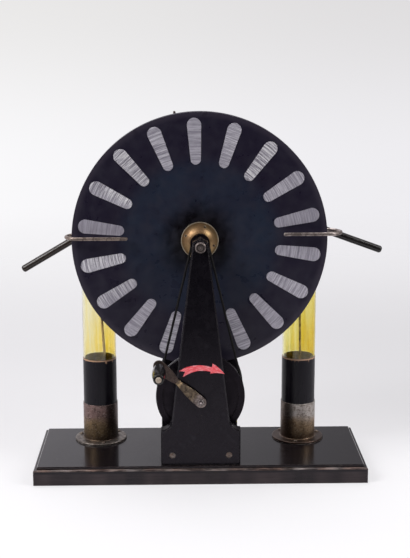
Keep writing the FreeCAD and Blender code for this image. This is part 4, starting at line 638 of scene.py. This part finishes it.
def black_wheel(centre):
    """Turned wooden wheel or pulley in satin black, with a painted highlight on the rim of a wheel."""

    def build(n):
        place = n.place(origin=centre)
        x, y, z = n.parts(place)
        rings = n.group(LATHE, across=x, up=z, width=0.7, along=y)
        marks = n.group(HANDLING, place=place, smudge=14.0)
        wear = n.group(EDGE_WEAR, place=place, reach=1.3, patch=9.0, worn=0.80)
        dust = n.group(DUST, place=place, amount=0.08)
        base = n.mix(n.spread(rings["Rings"], 0.3, 0.7), WHEEL_DARK, WHEEL_LIGHT)
        # Painted highlight: a near-white arc on the rims' edges at one turn round the axle
        nearness = n.sum("COSINE", n.sum("SUBTRACT", rings["Turn"], WHEEL_HIGHLIGHT_TURN))
        pale_mark = n.spread(nearness, 0.955, 0.985, 0.05, 1.0)
        pale_mark = n.times(pale_mark, n.spread(rings["Radius"], *WHEEL_RIM))
        base = n.mix(n.times(wear["Edge"], pale_mark), base, WHEEL_RIM_HIGHLIGHT)
        base = n.mix(dust["Mask"], base, WHEEL_DUST)
        rough = n.spread(marks["Smudges"], 0.0, 1.0, 0.24, 0.38)
        relief = n.bump(rings["Rings"], 0.04, 0.6)
        shine = {"Specular IOR Level": 0.15, "Specular Tint": colour(WHEEL_SHINE)}
        return {**surface(base, rough, relief), **shine}

    return build


def belt_cord(n):
    """Round twisted cord, waxed and dark, with lighter fluff on its strands."""
    place = n.place()
    x, y, z = n.parts(place)
    lay = n.join(n.sum("ADD", n.times(z, 0.8), n.times(y, 1.5)), x, 0.0)
    wave = n.add("ShaderNodeTexWave", {"Vector": lay, "Scale": 0.55, "Distortion": 0.6}, wave_type="BANDS")
    strands = wave.outputs["Fac"]
    fluff = n.noise(place, 3.2, 4.0, 0.8)
    base = n.mix(strands, CORD_DARK, CORD_LIGHT)
    base = n.mix(n.spread(fluff, 0.55, 0.75, 0.0, 0.5), base, CORD_FLUFF)
    relief = n.bump(fluff, 0.05, 0.5, n.bump(strands, 0.20, 0.8))
    rough = n.spread(fluff, 0.3, 0.7, 0.50, 0.78)
    return {**surface(base, rough, relief), "Specular IOR Level": 0.22}


def jar_glass(centre, varnish, deep, sway):
    """Jar glass, yellow with shellac varnish above the coatings, thicker and deeper in runs."""

    def build(n):
        place = n.place(origin=centre)
        x = n.parts(place)["X"]
        height = n.parts(n.place())["Z"]
        top = COATING_TOP / MM
        tall = n.vector("MULTIPLY", place, (1.0, 1.0, 0.09))
        runs = n.spread(n.noise(tall, 0.16, 4.0, 0.6, 0.5), 0.36, 0.70)
        side = n.spread(x, -20.0, 20.0, 0.35 - sway, 0.35 + sway, smooth=False)
        low = n.spread(height, top + 70.0, top + 4.0, 0.55, 1.0)
        depth = n.times(n.sum("ADD", n.times(runs, 0.65), side), low, clamp=True)
        film = n.mix(depth, varnish, deep)
        edge = n.sum("ADD", height, n.times(n.noise(place, 0.25, 3.0), 5.0))
        above = n.spread(edge, top + 1.0, top + 4.5)
        tint = n.mix(above, CLEAR_GLASS, film)
        rough = n.spread(runs, 0.0, 1.0, 0.02, 0.07)
        relief = n.bump(n.noise(tall, 0.11, 3.0), 0.25, 0.5)
        return {**surface(tint, rough, relief), "Transmission Weight": 1.0, "IOR": GLASS_IOR}

    return build


def jar_coating(seed, centre):
    """Black painted foil on the jar, with a coppery edge and runs of varnish at its top."""

    def build(n):
        place = n.place(origin=centre)
        x, y, _ = n.parts(place)
        height = n.parts(n.place())["Z"]
        round_jar = n.join(x, y, seed)
        drips = n.times(n.spread(n.noise(round_jar, 0.34, 3.0, 0.7), 0.54, 0.80), 7.0)
        depth = n.sum("SUBTRACT", COATING_TOP / MM, height)
        edge = n.spread(n.sum("SUBTRACT", depth, drips), 1.9, 1.2)
        seam = n.noise(n.vector("MULTIPLY", place, (1.0, 1.0, 0.12)), 0.22, 4.0, 0.6)
        black = n.mix(seam, COATING_DARK, COATING_LIGHT)
        copper = n.mix(n.noise(place, 0.6, 4.0, 0.7), COPPER_DARK, COPPER_LIGHT)
        base = n.mix(edge, black, copper)
        facing = n.add("ShaderNodeNewGeometry").outputs["Normal"]
        outwards = n.vector("DOT_PRODUCT", facing, n.join(x, y, 0.0))
        foil = n.mix(seam, BACKING_DARK, BACKING_LIGHT)
        base = n.mix(n.spread(outwards, 0.5, -0.5), base, foil)
        rough = n.spread(seam, 0.3, 0.7, 0.24, 0.40)
        relief = n.bump(seam, 0.08, 0.5)
        return {**surface(base, rough, relief), "Specular IOR Level": 0.16}

    return build


def inner_foil(n):
    """Foil inside the jar, olive brown under old varnish."""
    place = n.place()
    stain = n.group(PATINA, place=place, patch=6.0)
    base = n.mix(stain["Patches"], INNER_DARK, INNER_LIGHT)
    base = n.mix(n.times(stain["Specks"], 0.5), base, INNER_SPECK)
    relief = n.bump(stain["Patches"], 0.15, 0.6)
    return surface(base, n.spread(stain["Patches"], 0.0, 1.0, 0.5, 0.7), relief)


def bone(n):
    """Pale end of the crank's pin, yellowed and a little cracked."""
    place = n.place()
    stain = n.group(PATINA, place=place, patch=2.2)
    base = n.mix(stain["Patches"], BONE_PALE, BONE_DARK)
    base = n.mix(n.times(stain["Specks"], 0.6), base, BONE_CRACK)
    relief = n.bump(stain["Specks"], 0.04, 0.6)
    return surface(base, n.spread(stain["Patches"], 0.0, 1.0, 0.35, 0.5), relief)


def red_paint(n):
    """Red painted by hand with a brush, thin and paler along its strokes."""
    place = n.place(origin=CRANK)
    x, _, z = n.parts(place)
    rings = n.group(LATHE, across=x, up=z, width=0.9, along=0.0)
    strokes = n.noise(n.join(rings["Radius"], n.times(rings["Turn"], 5.0), 0.0), 1.1, 4.0, 0.65)
    wear = n.group(PATINA, place=place, patch=3.0)
    base = n.mix(n.spread(strokes, 0.42, 0.66), RED_DEEP, RED_PALE)
    base = n.mix(n.times(wear["Specks"], 0.35), base, RED_SPECK)
    relief = n.bump(strokes, 0.05, 0.6)
    return surface(base, n.spread(strokes, 0.3, 0.7, 0.35, 0.55), relief)


# Every node's finish
def dress(material, *names):
    for name in names:
        mesh = NODES[name].data
        mesh.materials.clear()
        mesh.materials.append(material)


HUB_GOLD, HUB_BROWN = (0.46, 0.31, 0.165), (0.17, 0.115, 0.075)


def dress_stand():
    dress(finish("stained_wood", stained_wood), "base_board", "foot_block")
    dress(finish("painted_wood", painted_wood), "front_upright", "rear_upright")
    brass = finish("strip_brass", aged_brass(HUB_GOLD, HUB_BROWN, 0.6))
    dress(brass, "link_strip", "link_bolts", "axle_washers", "crank_bush_front", "crank_bush_rear")
    steel = finish("axle_steel", turned_steel(AXLE, (0.14, 0.112, 0.104), (0.26, 0.218, 0.205)))
    dress(steel, "fixed_axle", "axle_cap_front", "axle_cap_rear")
    dress(finish("foot_screw_steel", screw_head((0.34, 0.32, 0.31), (0.13, 0.085, 0.06))), "foot_screws")
    screws = finish("upright_screw_steel", screw_head((0.25, 0.22, 0.21), (0.15, 0.095, 0.07)))
    dress(screws, "front_upright_screws", "rear_upright_screws")
    dress(finish("belt_cord", belt_cord), "front_belt", "rear_belt")


def dress_discs():
    for name, centre, seed in (("front", AXLE, 3.0), ("rear", REAR_DISC, 41.0)):
        dress(finish(name + "_ebonite", disc_ebonite(centre)), name + "_disc")
        dress(finish(name + "_foil", sector_foil(centre, seed)), name + "_sectors")
        dress(finish(name + "_hub_brass", hub_brass(centre)), name + "_boss")
        dress(finish(name + "_pulley_black", black_wheel(centre)), name + "_pulley")
        dark = finish(name + "_hub_screw", screw_head((0.16, 0.12, 0.08), (0.06, 0.04, 0.03)))
        dress(dark, name + "_boss_screws")


def dress_crank():
    dress(finish("drive_wheel_black", black_wheel(CRANK)), "drive_wheel_front", "drive_wheel_rear")
    steel = turned_steel(CRANK, (0.20, 0.19, 0.185), (0.44, 0.42, 0.40))
    dress(finish("crank_axle_steel", steel), "crank_axle")
    pin = middle("grip_pin") - CRANK
    dress(finish("crank_bronze", arm_bronze(CRANK, math.atan2(pin.z, pin.x))), "crank_arm")
    screw = turned_steel(CRANK, (0.17, 0.14, 0.135), (0.34, 0.29, 0.29), groove=(1.7, 2.3))
    dress(finish("crank_screw_bronze", screw), "crank_screw")
    dress(finish("collar_brass", aged_brass(HUB_GOLD, HUB_BROWN, 0.5)), "crank_collar")
    dark, light = (0.0022, 0.0018, 0.0020), (0.0070, 0.0060, 0.0062)
    grip = turned_ebonite(middle("crank_grip"), dark, light, "Y", (0.08, 0.24))
    dress(finish("grip_ebonite", grip), "crank_grip")
    dress(finish("pin_bone", bone), "grip_pin")


def dress_neutraliser():
    brass = finish("neutraliser_brass", aged_brass((0.22, 0.180, 0.150), (0.085, 0.066, 0.060), 0.55))
    dress(brass, "neutraliser_boss", "neutraliser_arms")
    wire = finish("brush_wire", aged_brass((0.34, 0.25, 0.15), (0.14, 0.10, 0.07), 0.5, 0.35, 0.6, 1.5))
    dress(wire, "neutraliser_brushes")


# The two sides differ: the left cup, rods and handle are browner, and the right ones greyer
SIDES = {
    "left": {
        "cup": ((0.250, 0.170, 0.090), (0.220, 0.140, 0.130), (0.045, 0.030, 0.028), (0.260, 0.230, 0.205)),
        "rod": ((0.38, 0.305, 0.262), (0.150, 0.115, 0.100), 0.45),
        "handle": ((0.016, 0.0115, 0.010), (0.045, 0.032, 0.027)),
        "varnish": ((1.0, 1.0, 0.88), (0.99, 0.82, 0.21), 0.25),
    },
    "right": {
        "cup": ((0.340, 0.235, 0.140), (0.440, 0.400, 0.375), (0.075, 0.045, 0.032), (0.050, 0.034, 0.030)),
        "rod": ((0.39, 0.330, 0.310), (0.160, 0.130, 0.120), 0.45),
        "handle": ((0.0070, 0.0055, 0.0055), (0.021, 0.017, 0.017)),
        "varnish": ((0.98, 0.97, 0.66), (0.88, 0.71, 0.06), 0.45),
    },
}


def dress_jars():
    for seed, (side, shades) in enumerate(SIDES.items()):
        centre = JARS[side]
        low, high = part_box(side + "_jar_cup")
        cup = cup_brass(centre, low.z, high.z, shades["cup"], math.copysign(1.0, -centre.x))
        dress(finish(side + "_cup_brass", cup), side + "_jar_cup")
        gold, brown, cover = shades["rod"]
        rods = finish(side + "_rod_brass", aged_brass(gold, brown, cover, 0.28, 0.50, 7.0))
        dress(rods, side + "_inner_rod", side + "_jar_head", side + "_collector", side + "_discharge_rod")
        dark, light = shades["handle"]
        lid = turned_ebonite(centre, (0.007, 0.006, 0.006), (0.018, 0.016, 0.016), "Z")
        dress(finish(side + "_lid_ebonite", lid), side + "_jar_lid")
        handle = turned_ebonite(middle(side + "_discharge_handle"), dark, light, "X")
        dress(finish(side + "_handle_ebonite", handle), side + "_discharge_handle")
        varnish, deep, sway = shades["varnish"]
        dress(finish(side + "_jar_glass", jar_glass(centre, varnish, deep, sway)), side + "_jar_glass")
        dress(finish(side + "_coating", jar_coating(seed * 7.0, centre)), side + "_jar_outer_coating")
        dress(finish(side + "_inner_foil", inner_foil), side + "_jar_inner_coating")
        screws = finish(side + "_cup_screw", screw_head((0.20, 0.165, 0.13), (0.08, 0.055, 0.045)))
        dress(screws, side + "_cup_screws")


# Painted arrow on the front upright, bent round the crank's axle
ARROW_RADIUS, ARROW_TIP_RADIUS = 40.3 * MM, 43.2 * MM
ARROW_TAIL, ARROW_NECK, ARROW_TIP = math.radians(-34.6), math.radians(17.6), math.radians(40.0)
ARROW_WIDTH, ARROW_NECK_WIDTH, ARROW_HEAD_WIDTH = 8.4 * MM, 5.6 * MM, 12.4 * MM
ARROW_NOTCH = 5.6 * MM
ARROW_TAIL_TURN = math.radians(10.0)
ARROW_STEPS, ARROW_HEAD_STEPS = 9, 4
ARROW_HEAD_LIFT, ARROW_TIP_SHARE = 0.025, 0.02
PAINT_THICKNESS, PAINT_LIFT = 0.12 * MM, 0.02 * MM


def deselect():
    for thing in bpy.context.selected_objects:
        thing.select_set(False)


def choose(piece, place, corners):
    """Selects the vertex or edge, as corners is 1 or 2, whose middle is nearest to the place."""
    mesh = bmesh.from_edit_mesh(piece.data)
    parts = mesh.verts if corners == 1 else mesh.edges
    for part in (*mesh.verts, *mesh.edges, *mesh.faces):
        part.select = False
    if corners == 1:
        nearest = min(parts, key=lambda part: (part.co - place).length)
    else:
        nearest = min(parts, key=lambda part: ((part.verts[0].co + part.verts[1].co) / 2 - place).length)
    nearest.select_set(True)
    bmesh.update_edit_mesh(piece.data)


def turned_point(radius, angle, y):
    """A point on the front upright at this radius from the crank's axle, clockwise from its top."""
    return Vector((CRANK.x + radius * math.sin(angle), y, CRANK.z + radius * math.cos(angle)))


def sweep(radius, angle, step, face, width_ratio, radius_step=0.0):
    """Extrudes the chosen edge by a turn round the crank's axle and widens or narrows it."""
    bpy.ops.mesh.extrude_region_move()
    bpy.ops.transform.rotate(value=-step, orient_axis="Y", center_override=turned_point(0.0, 0.0, face))
    here = turned_point(radius, angle + step, face)
    bpy.ops.transform.resize(value=(width_ratio,) * 3, center_override=here)
    if radius_step:
        bpy.ops.transform.translate(value=turned_point(radius + radius_step, angle + step, face) - here)


def paint_arrow():
    """A band swept round the axle from a swallow tail to a neck, then a barbed head drawn to its tip."""
    deselect()
    face = UPRIGHT_LOW.y - PAINT_LIFT
    tail_middle = ARROW_TAIL + ARROW_TAIL_TURN / 2
    bpy.ops.mesh.primitive_plane_add(size=1.0, location=turned_point(ARROW_RADIUS, tail_middle, face))
    arrow = bpy.context.active_object
    arrow.name = "direction_arrow"
    arrow.rotation_euler = (math.pi / 2, tail_middle, 0.0)
    arrow.scale = (ARROW_RADIUS * ARROW_TAIL_TURN, ARROW_WIDTH, 1.0)
    bpy.ops.object.transform_apply(location=True, rotation=True, scale=True)
    bpy.ops.object.mode_set(mode="EDIT")
    bpy.ops.mesh.select_mode(type="EDGE")
    angle = ARROW_TAIL + ARROW_TAIL_TURN
    choose(arrow, turned_point(ARROW_RADIUS, angle, face), 2)
    step = (ARROW_NECK - angle) / ARROW_STEPS
    narrowing = (ARROW_NECK_WIDTH / ARROW_WIDTH) ** (1 / ARROW_STEPS)
    for _ in range(ARROW_STEPS):
        sweep(ARROW_RADIUS, angle, step, face, narrowing)
        angle += step
    widening = ARROW_HEAD_WIDTH / ARROW_NECK_WIDTH
    sweep(ARROW_RADIUS, angle, 0.0, face, widening, ARROW_RADIUS * ARROW_HEAD_LIFT)
    radius = ARROW_RADIUS * (1 + ARROW_HEAD_LIFT)
    head_step = (ARROW_TIP - angle) / ARROW_HEAD_STEPS
    radius_step = (ARROW_TIP_RADIUS - radius) / ARROW_HEAD_STEPS
    for number in range(ARROW_HEAD_STEPS, 1, -1):
        sweep(radius, angle, head_step, face, (number - 1) / number, radius_step)
        angle, radius = angle + head_step, radius + radius_step
    sweep(radius, angle, head_step, face, ARROW_TIP_SHARE, radius_step)
    choose(arrow, turned_point(ARROW_RADIUS, ARROW_TAIL, face), 2)
    bpy.ops.mesh.subdivide(number_cuts=1)
    bpy.ops.mesh.select_mode(type="VERT")
    tail = turned_point(ARROW_RADIUS, ARROW_TAIL, face)
    choose(arrow, tail, 1)
    notch = turned_point(ARROW_RADIUS, ARROW_TAIL + ARROW_NOTCH / ARROW_RADIUS, face)
    bpy.ops.transform.translate(value=notch - tail)
    bpy.ops.mesh.select_all(action="SELECT")
    bpy.ops.mesh.extrude_region_move(TRANSFORM_OT_translate={"value": (0.0, -PAINT_THICKNESS, 0.0)})
    bpy.ops.mesh.select_all(action="SELECT")
    bpy.ops.mesh.normals_make_consistent(inside=False)
    bpy.ops.object.mode_set(mode="OBJECT")
    arrow.data.materials.append(finish("arrow_red", red_paint))
    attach(arrow, "stand")


# Floor, light and camera
FLOOR_RADIUS = 3.0
FLOOR_BACK_FADE, FLOOR_FRONT_FADE = (0.5, 2.2), (-0.42, -0.75)
FLOOR_PAINTED_SHADOW_START, FLOOR_PAINTED_SHADOW_END = (-0.15, 0.30), (1.60, 0.45)
FLOOR_GLOW = 0.51
PAPER_DARK, PAPER_LIGHT = (0.34, 0.335, 0.345), (0.38, 0.375, 0.385)
PAPER_GLOW_DARK, PAPER_GLOW_LIGHT = (0.96, 0.95, 0.97), (1.0, 0.99, 1.0)
LIGHT_TARGET = Vector((0.0, 0.0, 0.2))
SENSOR_WIDTH = 36.0
CAMERA_PLACE = Vector((-24.17, -1408.1, 531.17)) * MM
CAMERA_YAW, CAMERA_PITCH, CAMERA_ROLL = 0.0218, 0.2095, 0.0011
PHOTO_HEIGHT, FOCAL_PIXELS = 558, 1202.2


def floor_finish(n):
    """Pale paper, faintly fibrous and glowing, with a painted shadow in a band behind the object, deeper on
    the right, that ends softly behind the object and not far in front of it.
    """
    place = n.place()
    fibres = n.noise(place, 0.9, 4.0, 0.6)
    base = n.mix(fibres, PAPER_DARK, PAPER_LIGHT)
    across, along, _ = n.parts(n.add("ShaderNodeTexCoord").outputs["Object"])
    away = n.vector("LENGTH", n.join(across, n.sum("MAXIMUM", along, 0.0), 0.0))
    behind = n.spread(away, *FLOOR_BACK_FADE, 1.0, 0.0)
    ahead = n.spread(along, *FLOOR_FRONT_FADE, 1.0, 0.0)
    glow = n.mix(fibres, PAPER_GLOW_DARK, PAPER_GLOW_LIGHT)
    # Painted shadow: the glow is dimmed in a band behind the object, more towards the right
    painted_shadow = n.times(n.spread(along, *FLOOR_PAINTED_SHADOW_START), n.spread(along, *FLOOR_PAINTED_SHADOW_END))
    right = n.spread(across, -0.25, 0.35, 0.17, 0.24)
    strength = n.sum("MULTIPLY_ADD", painted_shadow, n.times(right, -1.0), FLOOR_GLOW)
    look = {"Base Color": base, "Emission Color": glow, "Emission Strength": strength}
    return {**look, "Roughness": 0.8, "Specular IOR Level": 0.1, "Alpha": n.times(behind, ahead)}


def make_floor():
    deselect()
    bpy.ops.mesh.primitive_circle_add(vertices=96, radius=FLOOR_RADIUS, fill_type="NGON")
    floor = bpy.context.active_object
    floor.name = "floor"
    floor.data.materials.append(finish("floor_paper", floor_finish))


def area_light(name, place, size, power):
    data = bpy.data.lights.new(name, "AREA")
    data.shape = "RECTANGLE"
    data.size, data.size_y = size
    data.energy = power
    light = bpy.data.objects.new(name, data)
    light.location = place
    light.rotation_mode = "QUATERNION"
    light.rotation_quaternion = (LIGHT_TARGET - Vector(place)).to_track_quat("-Z", "Y")
    bpy.context.scene.collection.objects.link(light)


def make_light():
    area_light("window_left", place=(-1.5, -0.9, 1.5), size=(0.9, 1.2), power=34.0)
    area_light("window_right", place=(1.6, -0.6, 1.4), size=(0.7, 1.1), power=24.0)
    area_light("overhead", place=(0.0, 0.5, 2.1), size=(1.8, 1.2), power=26.0)


# Surroundings as mirrored in the object, from front to back and from left to right, and as seen behind it
LEVEL_AHEAD, LEVEL_ACROSS = (-0.50, 0.40, 0.03, 0.80), (-0.15, 0.20, 1.02, 0.38)
MIRRORED_TINT = (1.0, 0.975, 1.03)
BACKDROP_LOW, BACKDROP_HIGH = (0.955, 0.95, 0.965), (0.825, 0.815, 0.81)
BACKDROP_RIGHT = (0.90, 0.895, 0.91)


def make_world():
    """Even pale surroundings, dark in front of the object and dimmer on the right, as in a lit booth."""
    world = bpy.data.worlds.new("studio")
    world.use_nodes = True
    bpy.context.scene.world = world
    n = Nodes(world.node_tree)
    across, ahead, up = n.parts(n.add("ShaderNodeTexCoord").outputs["Generated"])
    level = n.times(n.spread(ahead, *LEVEL_AHEAD), n.spread(across, *LEVEL_ACROSS))
    backdrop = n.mix(n.spread(up, -0.12, 0.03), BACKDROP_LOW, BACKDROP_HIGH)
    backdrop = n.mix(n.spread(across, -0.20, 0.20), backdrop, BACKDROP_RIGHT, blend="MULTIPLY")
    path = n.add("ShaderNodeLightPath").outputs
    seen = n.sum("MAXIMUM", path["Is Camera Ray"], path["Is Transmission Ray"])
    mirrored = n.vector("MULTIPLY", n.join(level, level, level), MIRRORED_TINT)
    glow = n.mix(seen, mirrored, backdrop)
    n.fill(world.node_tree.nodes["Background"].inputs["Color"], glow)


def make_camera():
    data = bpy.data.cameras.new("camera")
    data.sensor_width = SENSOR_WIDTH
    data.lens = FOCAL_PIXELS / PHOTO_HEIGHT * SENSOR_WIDTH
    data.clip_start, data.clip_end = 0.05, 20.0
    camera = bpy.data.objects.new("camera", data)
    bpy.context.scene.collection.objects.link(camera)
    level = Matrix.Rotation(-CAMERA_YAW, 4, "Z") @ Matrix.Rotation(math.pi / 2 - CAMERA_PITCH, 4, "X")
    camera.matrix_world = Matrix.Translation(CAMERA_PLACE) @ level @ Matrix.Rotation(-CAMERA_ROLL, 4, "Z")
    bpy.context.scene.camera = camera


dress_stand()
dress_discs()
dress_crank()
dress_neutraliser()
dress_jars()
paint_arrow()
make_floor()
make_light()
make_world()
make_camera()
bpy.context.scene.view_settings.view_transform = "Standard"
